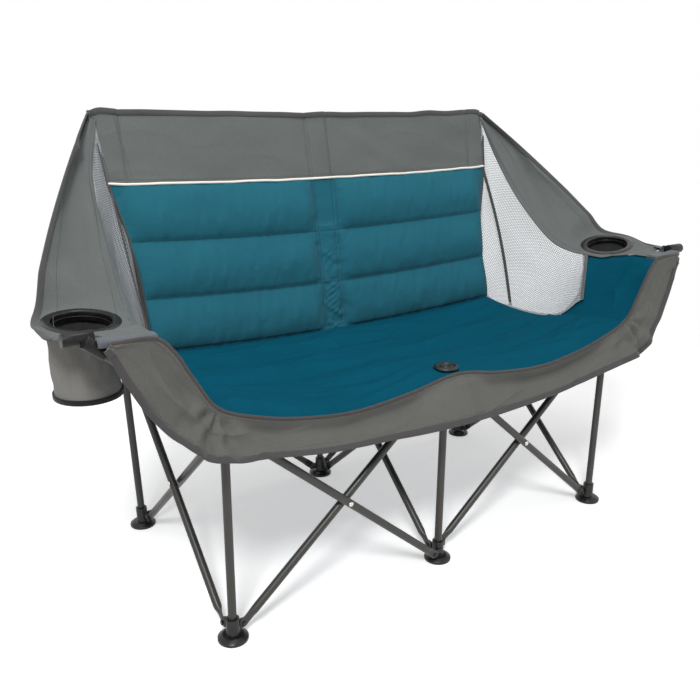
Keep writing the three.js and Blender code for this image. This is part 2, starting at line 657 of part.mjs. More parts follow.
// Side wings: from the top corner down to the arm, flat round the cup ring, ending in the arm's front strip
const WING_INNER = [
  [516, 254, 914], [544, 212, 812], [556, 128, 706], [570, 12, 610], [579, -38, 593],
  [590, -90, 588], [597, -160, 597], [602, -206, 607], [603, -217, 608], [603, RIM_Y, 610],
];
const WING_OUTER = [
  [527, 258.5, 932], [594, 172, 842], [662, 74, 742], [716, -14, 652], [738, -60, 622],
  [748, -105, 616], [750, -165, 609], [744, -206, 609], [662, -217, 610], [656, RIM_Y, 611],
];
const CUP_HOLE_R = CUP_FLANGE_R + 2 * FIT_GAP;
const CUP_HUG = { from: CUP_HOLE_R + 4, to: CUP_HOLE_R + 35 };

// The wing's cloth lies in the ring's own plane where it meets the ring
function wingSurface(side, mirror) {
  const plain = ruled(WING_INNER, WING_OUTER, mirror);
  return (u, v) => {
    const p = plain(u, v);
    const [out, back] = [mirror * p.x - CUP_X, p.y - CUP_Y];
    const free = THREE.MathUtils.smoothstep(Math.hypot(out, back), CUP_HUG.from, CUP_HUG.to);
    return p.setZ(THREE.MathUtils.lerp(CUP_Z[side] + cupSlope(side, out, back), p.z, free));
  };
}

// Mesh panels: from the wing's inner edge to the edge of the back and the seat
const MESH_TOP = [
  [513, 250.9, 900], [543, 211, 807], [555, 127, 701], [569, 11, 605], [577, -39, 588], [586, -90, 582.5],
];
const MESH_BOTTOM = [
  [515, 243.6, 878], [495.5, 194, 700], [476, 144, 487],
  [487, 40, 437.5], [503.5, -62, 439], [520, -150, 468],
];

// Arm linings: from the front piping back to the mesh
const LINING_FRONT = [[505, RIM_Y, 470], [548, RIM_Y, 529], [580, RIM_Y, 580], [601, RIM_Y, 605.5]];
const LINING_REAR = [[521, -154, 469.5], [543.3, -134, 507.5], [565.7, -114, 545.5], [588, -94, 583.5]];

for (const [side, mirror] of [['left', -1], ['right', 1]]) {
  const wing = sheet(wingSurface(side, mirror), 30, 5, () => CLOTH_T);
  const centre = V(mirror * CUP_X, CUP_Y, CUP_Z[side]);
  const axis = cupNormal(side, mirror);
  const [under, over] = [-1, 1].map((d) => centre.clone().addScaledVector(axis, d * CUP_FLANGE_R));
  const cup = rod(under, over, CUP_HOLE_R, 32);
  addPart(`wing_${side}`, join([wing], [cup]), GREY);
  addPart(`mesh_${side}`, sheet(ruled(MESH_TOP, MESH_BOTTOM, mirror), 16, 4, () => CLOTH_T), MESH_GREY);
  addPart(`lining_${side}`, sheet(ruled(LINING_FRONT, LINING_REAR, mirror), 8, 4, () => CLOTH_T), TEAL);
}

// Front skirt: from the rim to the hem, running up at both ends to the arm tips
const SKIRT_RIM = [
  [0, 438], [120, 420], [240, 411], [340, 421], [430, 441],
  [511, 474], [550, 531], [580, 583], [606, 608], [694, 612.5],
];
const SKIRT_HEM = [
  [0, -327, 350], [120, -327, 353], [240, -327, 363], [350, -327, 376], [450, -327, 389], [535, -326, 404],
  [592, -314, 447], [636, -300, 500], [664, -288, 552], [688, -279, 602],
];
const bothEnds = (list) => [...list.slice(1).reverse().map(([x, y, z]) => [-x, y, z]), ...list];
const skirtRim = bothEnds(SKIRT_RIM.map(([x, z]) => [x, SKIRT_Y, z]));
addPart('front_skirt', sheet(ruled(skirtRim, bothEnds(SKIRT_HEM)), 60, 3, () => CLOTH_T), GREY);

// Put the middle of the bounding box over the origin
const box = new THREE.Box3().setFromObject(loveseat);
loveseat.position.y = -(box.min.y + box.max.y) / 2;

export default loveseat;
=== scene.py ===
"""Looks of a folding camping loveseat: fabric, piping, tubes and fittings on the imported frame."""
import json
import math

import bmesh
import bpy
import numpy as np
from mathutils import Matrix, Vector

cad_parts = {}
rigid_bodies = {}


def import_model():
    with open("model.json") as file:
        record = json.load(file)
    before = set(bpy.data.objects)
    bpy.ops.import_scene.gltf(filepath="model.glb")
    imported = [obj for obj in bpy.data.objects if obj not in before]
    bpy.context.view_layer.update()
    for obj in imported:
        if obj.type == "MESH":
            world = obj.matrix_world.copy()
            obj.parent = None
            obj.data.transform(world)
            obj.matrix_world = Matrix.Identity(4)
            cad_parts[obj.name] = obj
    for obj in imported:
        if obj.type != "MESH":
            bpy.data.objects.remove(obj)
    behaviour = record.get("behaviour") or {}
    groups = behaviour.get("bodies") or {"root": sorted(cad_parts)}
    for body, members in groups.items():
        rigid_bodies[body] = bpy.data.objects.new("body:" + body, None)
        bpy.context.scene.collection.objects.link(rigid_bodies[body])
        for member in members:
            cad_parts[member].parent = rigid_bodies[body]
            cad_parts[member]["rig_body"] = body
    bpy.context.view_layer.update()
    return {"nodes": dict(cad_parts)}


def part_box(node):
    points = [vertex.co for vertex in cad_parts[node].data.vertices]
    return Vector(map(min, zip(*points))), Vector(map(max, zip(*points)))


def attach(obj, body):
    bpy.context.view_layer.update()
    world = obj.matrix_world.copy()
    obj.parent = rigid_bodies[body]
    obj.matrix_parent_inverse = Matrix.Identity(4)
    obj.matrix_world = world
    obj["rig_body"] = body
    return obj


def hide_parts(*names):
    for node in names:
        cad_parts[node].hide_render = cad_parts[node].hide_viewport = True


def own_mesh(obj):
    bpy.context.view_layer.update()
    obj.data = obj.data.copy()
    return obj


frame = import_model()
nodes = frame["nodes"]

# The part's own dimensions in millimetres; y runs from midway between the two rows of feet
PITCH = 490.0
ROW_Y = PITCH / 2
TUBE_R = 8.0
PIVOT_OFFSET = 22.0
FOOT_PIVOT_Z = 24.0
HUB_PIVOT_Z = 408.0
LAYER = 17.0
ARM_RISE = 589.0
RUN = PITCH - 2 * PIVOT_OFFSET
RISE = HUB_PIVOT_Z - FOOT_PIVOT_Z
TUBE_L = math.hypot(RUN, RISE)
TUBE_ANGLE = math.atan2(RISE, RUN)
LONG_L = ARM_RISE / math.sin(TUBE_ANGLE)
POST_FOOT = 8.4
FRONT_TOP = 392.0
REAR_TOP = 915.0
LEAN_OUT = 26.0
LEAN_BACK = 29.2
RIM_Y = -276.7
CUP = {"left": (666.0, -86.0, 598.0), "right": (666.0, -86.0, 607.0)}
CUP_TILT_IN = {"left": 0.04, "right": 0.24}
CUP_TILT_FORWARD = 0.1

low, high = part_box("foot_front_left")
SHIFT = (low.y + high.y) * 500 + ROW_Y


def metres(points):
    """Millimetres about the feet's middle line to metres in the row frame."""
    return (np.asarray(points, float) + (0.0, SHIFT, 0.0)) / 1000


def lin(r, g, b):
    """A colour as written on a screen, as linear light."""
    channel = [c / 255 for c in (r, g, b)]
    return tuple(c / 12.92 if c <= 0.04045 else ((c + 0.055) / 1.055) ** 2.4 for c in channel) + (1.0,)


# Materials
class Nodes:
    """A node tree and short calls for its nodes."""

    def __init__(self, tree):
        self.tree = tree

    def add(self, kind, settings=None, **inputs):
        node = self.tree.nodes.new(kind)
        for key, value in (settings or {}).items():
            setattr(node, key, value)
        for key, value in inputs.items():
            socket = node.inputs[int(key[1:])] if key[0] == "i" and key[1:].isdigit() else node.inputs[key]
            if isinstance(value, bpy.types.NodeSocket):
                self.tree.links.new(value, socket)
            else:
                socket.default_value = value
        return node

    def math(self, operation, a, b):
        return self.add("ShaderNodeMath", {"operation": operation}, i0=a, i1=b).outputs[0]

    def mix(self, factor, a, b):
        node = self.add("ShaderNodeMix", {"data_type": "RGBA"}, i0=factor, i6=a, i7=b)
        return node.outputs[2]

    def ramp(self, value, stops):
        node = self.add("ShaderNodeValToRGB", None, Fac=value)
        elements = node.color_ramp.elements
        while len(elements) < len(stops):
            elements.new(0.5)
        for element, (place, colour) in zip(elements, stops):
            element.position = place
            element.color = colour if len(colour) == 4 else (*colour, 1.0)
        return node.outputs["Color"]

    def noise(self, vector, scale, detail=3.0, roughness=0.55):
        inputs = dict(Vector=vector, Scale=scale, Detail=detail, Roughness=roughness)
        return self.add("ShaderNodeTexNoise", None, **inputs).outputs["Fac"]

    def bump(self, height, strength, distance, normal=None):
        node = self.add("ShaderNodeBump", None, Strength=strength, Distance=distance, Height=height)
        if normal is not None:
            self.tree.links.new(normal, node.inputs["Normal"])
        return node.outputs["Normal"]

    def glow(self, kind, strength):
        return self.add(kind, None, Color=(1, 1, 1, 1), Strength=strength).outputs[0]

    def seen_straight(self):
        """1 for what the camera sees, straight, in a gloss or through a hole."""
        ray = self.add("ShaderNodeLightPath").outputs
        bent = self.math("MAXIMUM", ray["Is Glossy Ray"], ray["Is Transmission Ray"])
        return self.math("MAXIMUM", ray["Is Camera Ray"], bent)


class Shader(Nodes):
    """A principled material."""

    def __init__(self, name, colour, roughness, metallic=0.0, **sockets):
        self.material = bpy.data.materials.new(name)
        self.material.use_nodes = True
        super().__init__(self.material.node_tree)
        self.bsdf = self.tree.nodes["Principled BSDF"]
        self.material.diffuse_color = colour
        values = {"Base Color": colour, "Roughness": roughness, "Metallic": metallic}
        values.update({key.replace("_", " "): value for key, value in sockets.items()})
        for key, value in values.items():
            self.bsdf.inputs[key].default_value = value

    def link(self, output, socket):
        self.tree.links.new(output, self.bsdf.inputs[socket])


def shade(colour, factor):
    return tuple(min(1.0, c * factor) for c in colour[:3]) + (1.0,)


def woven(name, colour, light=1.25, dark=0.72, pitch=0.0017, sheen=0.18, crease=0.5, gloss=0.25):
    """Plain-weave cloth: threads from the sheet's own lengths, mottled yarn and soft creases."""
    s = Shader(name, colour, 0.88, Sheen_Weight=sheen, Sheen_Roughness=0.5, Specular_IOR_Level=gloss)
    coords = s.add("ShaderNodeTexCoord")
    uv, place = coords.outputs["UV"], coords.outputs["Object"]
    weave = dict(Vector=uv, Scale=0.5 / pitch / math.pi, Distortion=0.6)
    ways = [s.add("ShaderNodeTexWave", {"bands_direction": way}, **weave) for way in "XY"]
    threads = s.math("MULTIPLY", *[way.outputs["Fac"] for way in ways])
    yarn = s.noise(place, 900.0, 2.0)
    mottle = s.noise(place, 55.0, 4.0, 0.65)
    tone = s.noise(place, 5.0, 3.0)
    first = s.ramp(yarn, [(0.3, shade(colour, dark)), (0.5, colour), (0.72, shade(colour, light))])
    # Painted highlight: the thread crowns, where the weave stands highest, are painted lighter.
    second = s.mix(s.math("MULTIPLY", threads, 0.35), first, shade(colour, light * 1.05))
    third = s.mix(s.math("MULTIPLY", mottle, 0.3), second, shade(colour, dark))
    cloud = s.ramp(tone, [(0.35, shade(colour, 0.86)), (0.65, shade(colour, 1.1))])
    s.link(s.mix(0.25, third, cloud), "Base Color")
    folds = s.noise(place, 26.0, 4.0, 0.55)
    soft = s.bump(folds, 0.22 * crease, 0.006)
    s.link(s.bump(threads, 0.28, 0.0006, soft), "Normal")
    return s.material


def tape(name, colour, light=1.3, dark=0.7):
    return woven(name, colour, light, dark, pitch=0.0012, crease=0.2)


def netting(name, thread, pitch=0.0046, hole=0.36):
    """Open knitted mesh: round holes set in offset rows, with the thread's own relief."""
    s = Shader(name, thread, 0.85, Sheen_Weight=0.1, Specular_IOR_Level=0.3)
    uv = s.add("ShaderNodeTexCoord").outputs["UV"]
    parts = s.add("ShaderNodeSeparateXYZ", None, Vector=uv).outputs
    row = s.math("DIVIDE", parts["Y"], pitch * 0.82)
    clear = 4000.0
    odd = s.math("FLOOR", s.math("MODULO", s.math("ADD", row, clear), 2.0), 0.0)
    column = s.math("ADD", s.math("DIVIDE", parts["X"], pitch), s.math("MULTIPLY", odd, 0.5))
    ends = [s.math("FRACT", s.math("ADD", place, clear), 0.0) for place in (column, row)]
    dx, dy = (s.math("SUBTRACT", end, 0.5) for end in ends)
    square = s.math("ADD", s.math("MULTIPLY", dx, dx), s.math("MULTIPLY", dy, dy))
    away = s.math("SQRT", square, 0.0)
    solid = s.add("ShaderNodeMapRange", None, Value=away)
    solid.inputs["From Min"].default_value = hole - 0.05
    solid.inputs["From Max"].default_value = hole + 0.03
    s.link(solid.outputs[0], "Alpha")
    # Painted shade: the thread is darker where it turns down into each hole.
    s.link(s.ramp(away, [(hole, shade(thread, 0.72)), (hole + 0.14, thread)]), "Base Color")
    s.link(s.bump(away, 0.5, 0.0008), "Normal")
    return s.material


def hard(name, colour, roughness, wear, tones, relief, glosses=(), metallic=0.0, **sockets):
    """Paint, plastic or metal: tone and gloss change with wear, over a fine relief."""
    s = Shader(name, colour, roughness, metallic, **sockets)
    place = s.add("ShaderNodeTexCoord").outputs["Object"]
    worn = s.noise(place, *wear)
    s.link(s.ramp(worn, [(at, shade(colour, tone)) for at, tone in tones]), "Base Color")
    if glosses:
        s.link(s.ramp(worn, [(at, (gloss,) * 3) for at, gloss in glosses]), "Roughness")
    scale, detail, strength, depth = relief
    s.link(s.bump(s.noise(place, scale, detail), strength, depth), "Normal")
    return s.material


def moulded(name, colour, roughness=0.3, grain=0.1, gloss=0.4):
    tones, glosses = [(0.4, 1.0), (0.75, 2.0)], [(0.3, roughness - 0.06), (0.8, roughness + 0.16)]
    relief = (700.0, 2.0, grain, 0.0004)
    return hard(name, colour, roughness, (35.0, 5.0, 0.7), tones, relief, glosses, Specular_IOR_Level=gloss)


TEAL = woven("teal_cloth", lin(31, 94, 110), light=1.2, dark=0.75, sheen=0.05, crease=0.7, gloss=0.12)
# A darker copy of the teal cloth: painted shade on the seat and the arm linings.
SHADED_TEAL = woven("teal_cloth_shaded", lin(6, 74, 94), light=1.15, dark=0.8, sheen=0.0, crease=0.8, gloss=0.04)
GREY = woven("grey_cloth", lin(94, 98, 97), light=1.35, dark=0.66, sheen=0.08, crease=1.3)
# A darker copy of the grey cloth: painted shade on the skirt.
SHADED_GREY = woven("grey_cloth_shaded", lin(91, 91, 88), light=1.35, dark=0.66, sheen=0.06, crease=1.4, gloss=0.15)
POUCH_GREY = woven("pouch_cloth", lin(118, 117, 113), light=1.35, dark=0.66, sheen=0.1)
# A much darker copy of the pouch cloth: painted shade on the pouch's inside.
SHADED_POUCH = woven("pouch_cloth_shaded", lin(44, 44, 46), light=1.3, dark=0.7)
LIGHT_GREY = woven("light_grey_cloth", lin(86, 92, 98))
BINDING = tape("dark_binding", lin(72, 72, 72))
HEM = tape("hem_tape", lin(66, 64, 64))
NET_TAPE = tape("net_tape", lin(150, 153, 154), 1.2, 0.75)
RIM_TAPE = tape("rim_tape", lin(68, 63, 61))
BLACK_TAPE = tape("black_tape", lin(24, 24, 25), 1.5, 0.6)
CREAM = tape("cream_piping", lin(238, 232, 220), 1.05, 0.85)
THREAD = woven("grey_thread", lin(84, 85, 85), pitch=0.0008, crease=0.1)
TEAL_THREAD = woven("teal_thread", lin(8, 54, 68), pitch=0.0008, crease=0.1)
NET = netting("mesh_net", lin(176, 181, 185), pitch=0.0056, hole=0.39)
TUBE = hard("gunmetal_paint", lin(58, 57, 54), 0.42, wear=(18.0, 5.0, 0.7), relief=(420.0, 3.0, 0.08, 0.0005),
            tones=[(0.35, 0.8), (0.6, 1.0), (0.78, 1.35)], glosses=[(0.3, 0.36), (0.75, 0.52)],
            metallic=0.45, Coat_Weight=0.1, Coat_Roughness=0.3)
PLASTIC = moulded("black_plastic", lin(20, 20, 20))
TIP_PLASTIC = moulded("tip_plastic", lin(22, 22, 23), 0.3, 0.12, 0.2)
RING_PLASTIC = moulded("ring_plastic", lin(17, 17, 18), 0.26, 0.06)
STEEL = hard("rivet_steel", lin(214, 212, 205), 0.3, wear=(320.0, 4.0), relief=(320.0, 4.0, 0.1, 0.0003),
             tones=[(0.3, 0.75), (0.7, 1.0)], metallic=1.0)


# Curves, grids and meshes, all in millimetres until they become objects
def length_of(a):
    return np.linalg.norm(a, axis=-1, keepdims=True)


def unit(a):
    return a / np.maximum(length_of(a), 1e-9)


def round_turn(count):
    """Angles once round, without the last."""
    return np.linspace(0, 2 * math.pi, count, endpoint=False)


def raised(grid, normals, height):
    return grid + normals * height[..., None]


def curve(points, t):
    """Smooth curve through points, each span an equal share of t."""
    p = np.asarray(points, float)
    p = np.vstack([2 * p[0] - p[1], p, 2 * p[-1] - p[-2]])
    spans = len(p) - 3
    t = np.asarray(t, float) * spans
    i = np.clip(np.floor(t).astype(int), 0, spans - 1)
    w = (t - i)[..., None]
    p0, p1, p2, p3 = p[i], p[i + 1], p[i + 2], p[i + 3]
    d0, d1, d2 = (np.sqrt(length_of(b - a)) for a, b in ((p0, p1), (p1, p2), (p2, p3)))
    m1 = ((p1 - p0) / d0 - (p2 - p0) / (d0 + d1) + (p2 - p1) / d1) * d1
    m2 = ((p2 - p1) / d1 - (p3 - p1) / (d1 + d2) + (p3 - p2) / d2) * d1
    return p1 + m1 * w + (3 * (p2 - p1) - 2 * m1 - m2) * w**2 + (2 * (p1 - p2) + m1 + m2) * w**3


def smooth(edge0, edge1, x):
    t = np.clip((x - edge0) / (edge1 - edge0), 0, 1)
    return t * t * (3 - 2 * t)


def bell(x, width):
    return np.exp(-((x / width) ** 2))


def peak(x, width):
    return np.exp(-abs(x) / width)


def arch(t):
    """0 at both ends, 1 in the middle."""
    return np.sin(math.pi * t)


def rumple(x, y, seed):
    """Smooth lattice noise from -1 to 1, the same on every run."""
    xi, yi = np.floor(x), np.floor(y)
    fx, fy = x - xi, y - yi
    fx, fy = fx * fx * (3 - 2 * fx), fy * fy * (3 - 2 * fy)

    def corner(a, b):
        h = np.sin(a * 127.1 + b * 311.7 + seed * 74.7) * 43758.5453
        return 2 * (h - np.floor(h)) - 1

    top = corner(xi, yi) * (1 - fx) + corner(xi + 1, yi) * fx
    bottom = corner(xi, yi + 1) * (1 - fx) + corner(xi + 1, yi + 1) * fx
    return top * (1 - fy) + bottom * fy


def crease(x, y, seed):
    """Sharp fold lines: the ridges of the lattice noise, from -1 to 1."""
    return 1 - 2 * np.sqrt(abs(rumple(x, y, seed)))


def lattice(nu, nv):
    return np.meshgrid(np.linspace(0, 1, nu + 1), np.linspace(0, 1, nv + 1))


def ruled(first, second, u, v, mirror=1):
    a, b = (curve(c, u) for c in (first, second))
    return (a * (1 - v[..., None]) + b * v[..., None]) * (mirror, 1, 1)


def normals_of(grid):
    return unit(np.cross(np.gradient(grid, axis=1), np.gradient(grid, axis=0)))


def facing(grid, axis, sign):
    """A grid's normals, turned to one side along an axis."""
    n = normals_of(grid)
    return n * np.sign(sign * n[..., axis:axis + 1] + 1e-9)


def run_of(path):
    """Distance along a path at each of its points."""
    return np.concatenate([[0], np.cumsum(np.linalg.norm(np.diff(path, axis=0), axis=1))])


def sample(field, run, places):
    """Points at given distances along a path."""
    return np.stack([np.interp(places, run, field[:, k]) for k in range(3)], -1)


def between(index, closed=False):
    """Faces between neighbouring rings of points."""
    now, after = (index, np.roll(index, -1, axis=0)) if closed else (index[:-1], index[1:])
    return np.stack([now, np.roll(now, -1, 1), np.roll(after, -1, 1), after], -1).reshape(-1, 4)


def tube_of(index):
    """Faces of rings of points, closed at both ends."""
    return between(index).tolist() + [index[0, ::-1].tolist(), index[-1].tolist()]


def rows_of(rows, columns):
    return np.arange(rows * columns).reshape(rows, columns)


def squares(index):
    """Faces of a grid of points."""
    return np.stack([index[:-1, :-1], index[:-1, 1:], index[1:, 1:], index[1:, :-1]], -1).reshape(-1, 4)


def add_object(name, data):
    obj = bpy.data.objects.new(name, data)
    bpy.context.scene.collection.objects.link(obj)
    return obj


def apply(obj):
    """Give an object the mesh that its modifiers make."""
    bpy.context.view_layer.update()
    done = bpy.data.meshes.new_from_object(obj.evaluated_get(bpy.context.evaluated_depsgraph_get()))
    obj.modifiers.clear()
    obj.data = done
    return done


def lengths_of(grid):
    """Distances along the two ways of a grid, in metres, for the cloth's threads."""
    out = []
    for axis in (1, 0):
        step = np.linalg.norm(np.diff(grid, axis=axis), axis=-1)
        pad = [(0, 0), (0, 0)]
        pad[axis] = (1, 0)
        out.append(np.cumsum(np.pad(step, pad), axis=axis) / 1000)
    return np.stack(out, -1)


def build(name, points, faces, material, uvs=None):
    """A mesh object from points in millimetres."""
    mesh = bpy.data.meshes.new(name)
    mesh.from_pydata(metres(points).tolist(), [], faces)
    if uvs is not None:
        layer = mesh.uv_layers.new(name="cloth")
        index = np.zeros(len(mesh.loops), int)
        mesh.loops.foreach_get("vertex_index", index)
        layer.data.foreach_set("uv", np.asarray(uvs, float)[index].ravel())
    mesh.materials.append(material)
    mesh.polygons.foreach_set("use_smooth", [True] * len(mesh.polygons))
    mesh.update()
    if sum(mesh.vertices[p.vertices[0]].co.dot(p.normal) * p.area for p in mesh.polygons) < 0:
        mesh.flip_normals()
    return add_object(name, mesh)


def closed_pair(name, front, rear, material):
    """A closed piece between two grids of the same size."""
    index = rows_of(*front.shape[:2])
    total = index.size
    faces = squares(index)
    faces = np.vstack([faces, faces[:, ::-1] + total])
    rim = np.concatenate([index[0, :-1], index[:-1, -1], index[-1, :0:-1], index[:0:-1, 0]])
    after = np.roll(rim, -1)
    faces = np.vstack([faces, np.stack([after, rim, rim + total, after + total], -1)])
    uv = lengths_of(front).reshape(-1, 2)
    points = np.vstack([front.reshape(-1, 3), rear.reshape(-1, 3)])
    return build(name, points, faces.tolist(), material, np.vstack([uv, uv]))


def cloth(name, grid, thickness, material):
    n = normals_of(grid) * thickness / 2
    return closed_pair(name, grid + n, grid - n, material)


def frames_along(path, guide=None):
    """Two cross directions at each point of a path."""
    tangent = unit(np.gradient(path, axis=0))
    if guide is None:
        side = np.zeros_like(path)
        start = np.array([0, 0, 1.0]) if abs(tangent[0][2]) < 0.9 else np.array([1.0, 0, 0])
        for i, t in enumerate(tangent):
            side[i] = start = unit(start - t * start.dot(t))
    else:
        side = unit(guide - tangent * np.sum(guide * tangent, axis=1, keepdims=True))
    return side, np.cross(tangent, side)


def sweep(name, path, section, material, guide=None, closed=False, scale=None):
    """A section of (side, up) points carried along a path and closed at both ends."""
    path = np.asarray(path, float)
    section = np.asarray(section, float)
    side, up = frames_along(path, guide)
    size = np.ones(len(path)) if scale is None else np.asarray(scale, float)
    rings = path[:, None] + size[:, None, None] * (
        section[None, :, :1] * side[:, None] + section[None, :, 1:] * up[:, None]
    )
    index = rows_of(len(path), len(section))
    faces = between(index, True).tolist() if closed else tube_of(index)
    uv = np.broadcast_arrays(run_of(path)[:, None] / 1000, run_of(section)[None] / 1000)
    uv = np.stack(uv, -1).reshape(-1, 2)
    return build(name, rings.reshape(-1, 3), faces, material, uv)


def circle(radius, sides):
    a = round_turn(sides)
    return radius * np.stack([np.cos(a), np.sin(a)], -1)


def tape_section(width, thickness):
    """A folded tape over an edge: its fold stands just proud of the cloth, its legs run inward."""
    h = thickness / 2
    return np.array([
        (-1.6, 0), (-1.2, 0.7 * h), (0, h), (width * 0.5, h * 1.05), (width - 0.8, h), (width, 0.6 * h),
        (width, -0.6 * h), (width - 0.8, -h), (width * 0.5, -h * 1.05), (0, -h), (-1.2, -0.7 * h),
    ])


def seam_at(grid, normals, pick, lift=1.0):
    """A sewing line over a grid: its points and their normals."""
    return grid[pick] + normals[pick] * lift, normals[pick]


def stitches(name, paths, material, pitch=5.0, length=3.4, radius=0.55):
    """Rows of short raised stitches along sewing lines."""
    points, faces = [], []
    a = (np.arange(4) + 0.5) * math.pi / 2
    wide, tall = 1.5 * radius * np.cos(a)[:, None], radius * np.sin(a)[:, None]
    for path, normal in paths:
        run = run_of(path)
        for s in np.arange(pitch, run[-1] - pitch, pitch):
            ends = sample(path, run, s + np.array([-0.5, 0, 0.5]) * length)
            n = unit(sample(normal, run, s))
            b = np.cross(unit(ends[2] - ends[0]), n)
            faces += tube_of(rows_of(3, 4) + len(points))
            for p, lift, share in zip(ends, (-0.1, 0.45, -0.1), (0.5, 1.0, 0.5)):
                points.extend(p + b * wide * share + n * (tall + lift))
    return build(name, points, faces, material, np.zeros((len(points), 2)))


def turned(name, profile, centre, material, sides=64, axis=(0, 0, 1)):
    """A shape turned about an axis; the profile closes on itself or on the axis."""
    profile = np.asarray(profile, float)
    turn = np.array(Vector(axis).normalized().to_track_quat("Z", "Y").to_matrix())
    r, z = profile.T
    cos, sin = circle(1.0, sides).T[..., None]
    rings = np.stack([r * cos, r * sin, z + 0 * cos], -1)
    points = rings.reshape(-1, 3) @ turn.T + np.asarray(centre, float)
    index = rows_of(sides, len(profile))
    nxt = np.roll(index, -1, axis=0)
    faces = np.stack([index[:, :-1], nxt[:, :-1], nxt[:, 1:], index[:, 1:]], -1).reshape(-1, 4).tolist()
    obj = build(name, points, faces, material)
    merge(obj.data)
    return obj


def merge(mesh, flats=False):
    """Join points that coincide; then merge flat faces, or set the faces right."""
    work = bmesh.new()
    work.from_mesh(mesh)
    bmesh.ops.remove_doubles(work, verts=work.verts, dist=1e-6)
    if flats:
        bmesh.ops.dissolve_limit(work, angle_limit=0.02, verts=work.verts, edges=work.edges)
    else:
        bmesh.ops.dissolve_degenerate(work, edges=work.edges, dist=1e-7)
        bmesh.ops.recalc_face_normals(work, faces=work.faces)
    work.to_mesh(mesh)
    work.free()


def crisp(obj, angle=0.6):
    """Smooth round faces and keep sharp edges sharp."""
    obj.data.set_sharp_from_angle(angle=angle)


def settle(obj, body, slot, *replaced, fold=None):
    """Ride on a body and stand for its nodes; where a fold is given, take a mesh of its own."""
    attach(obj, body)
    if replaced:
        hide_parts(*replaced)
    if fold is not None:
        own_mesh(obj)
    return obj


ACROSS = ((1, 0, 0), (0, 0, 0), 0.2)
DEEP = ((0, 1, 0), (0, -140, 0), 0.06)


def on_back(obj, slot="grey_fabric", *replaced):
    return settle(obj, "rear_center", slot, *replaced, fold=ACROSS)


def on_skirt(obj, *replaced):
    return settle(obj, "hub_center", "grey_fabric", *replaced, fold=ACROSS)


# Frame: feet grid, tubes, posts and fittings
COLUMN = {"left": -1, "center": 0, "right": 1}
SIDES = {"left": -1, "right": 1}
ROW = {"front": -1, "rear": 1}


def stand(row, column):
    return np.array([COLUMN[column] * PITCH, ROW[row] * ROW_Y, 0.0])


def post_point(row, column, z):
    lean = np.array([COLUMN[column] * LEAN_OUT, LEAN_BACK, 0.0]) if row == "rear" else np.zeros(3)
    return stand(row, column) + lean * z / REAR_TOP + (0, 0, z)


FC, FL, FR = [("front", c) for c in ("center", "left", "right")]
RC, RL, RR = [("rear", c) for c in ("center", "left", "right")]
HALF = LAYER / 2
TUBES = {
    "front_left_long": (FC, FL, -LAYER), "front_left_short": (FL, FC, 0.0),
    "front_right_long": (FC, FR, LAYER), "front_right_short": (FR, FC, 0.0),
    "rear_left_outward": (RC, RL, HALF), "rear_left_inward": (RL, RC, -HALF),
    "rear_right_outward": (RC, RR, HALF), "rear_right_inward": (RR, RC, -HALF),
    "side_left_rearward": (FL, RL, -HALF), "side_left_forward": (RL, FL, HALF),
    "side_right_rearward": (FR, RR, -HALF), "side_right_forward": (RR, FR, HALF),
    "middle_rearward": (FC, RC, -HALF), "middle_forward": (RC, FC, HALF),
}
PAIRS = {}
for name in TUBES:
    PAIRS.setdefault(name.rsplit("_", 1)[0], []).append(name)


def tube_frame(name):
    start, end, layer = TUBES[name]
    plan = unit(stand(*end) - stand(*start))
    normal = np.array([0, 1.0, 0]) if abs(plan[0]) > 0.5 else np.array([1.0, 0, 0])
    origin = stand(*start) + plan * PIVOT_OFFSET + normal * layer + (0, 0, FOOT_PIVOT_Z)
    along = plan * math.cos(TUBE_ANGLE) + (0, 0, math.sin(TUBE_ANGLE))
    return origin, along, normal


TAB_T, TAB_W, TAB_LENGTH, LONG_TAB, TAB_FLAT = 5.0, 9.0, 34.0, 66.0, 0.4


def scissor_tube(name):
    """A round tube, pressed flat at its pins, with rounded tab ends."""
    origin, along, normal = tube_frame(name)
    across = np.cross(along, normal)
    long = name.endswith("long")
    end = LONG_L if long else TUBE_L + TAB_W
    reach = (TAB_LENGTH, LONG_TAB if long else TAB_LENGTH)
    low_end, high_end = (r * 1.1 for r in reach)
    stops = [-TAB_W, 0, low_end, TUBE_L - high_end, TUBE_L]
    stops += [TUBE_L + high_end, end] if long else [end]
    counts = (8, 12, 24, 12) + ((12, 6) if long else (8,))
    s = np.unique(np.concatenate([np.linspace(*span) for span in zip(stops, stops[1:], counts)]))
    lower = s < TUBE_L / 2
    near = np.where(lower, abs(s), abs(s - TUBE_L))
    far = np.where(lower, reach[0], reach[1])
    ease = smooth(far * TAB_FLAT, far, near)
    half_t = TAB_T / 2 + (TUBE_R - TAB_T / 2) * ease
    half_w = TAB_W + (TUBE_R - TAB_W) * ease
    rounded = (s < 0) | ((s > TUBE_L) & (not long))
    half_w = np.where(rounded, TAB_W * np.sqrt(np.clip(1 - (near / (TAB_W * 1.02)) ** 2, 0.03, 1)), half_w)
    a = round_turn(24)
    rings = (origin + s[:, None] * along)[:, None] + (half_t[:, None] * np.cos(a))[..., None] * normal
    rings = rings + (half_w[:, None] * np.sin(a))[..., None] * across
    index = rows_of(len(s), len(a))
    obj = build(f"{name}_tube_skin", rings.reshape(-1, 3), tube_of(index), TUBE)
    crisp(obj)
    return settle(obj, name, "tube_metal", f"{name}_tube")


def dome(r, h, steps=6):
    a = np.linspace(0, math.pi / 2, steps)
    return [(r * math.cos(x), h * math.sin(x)) for x in a]


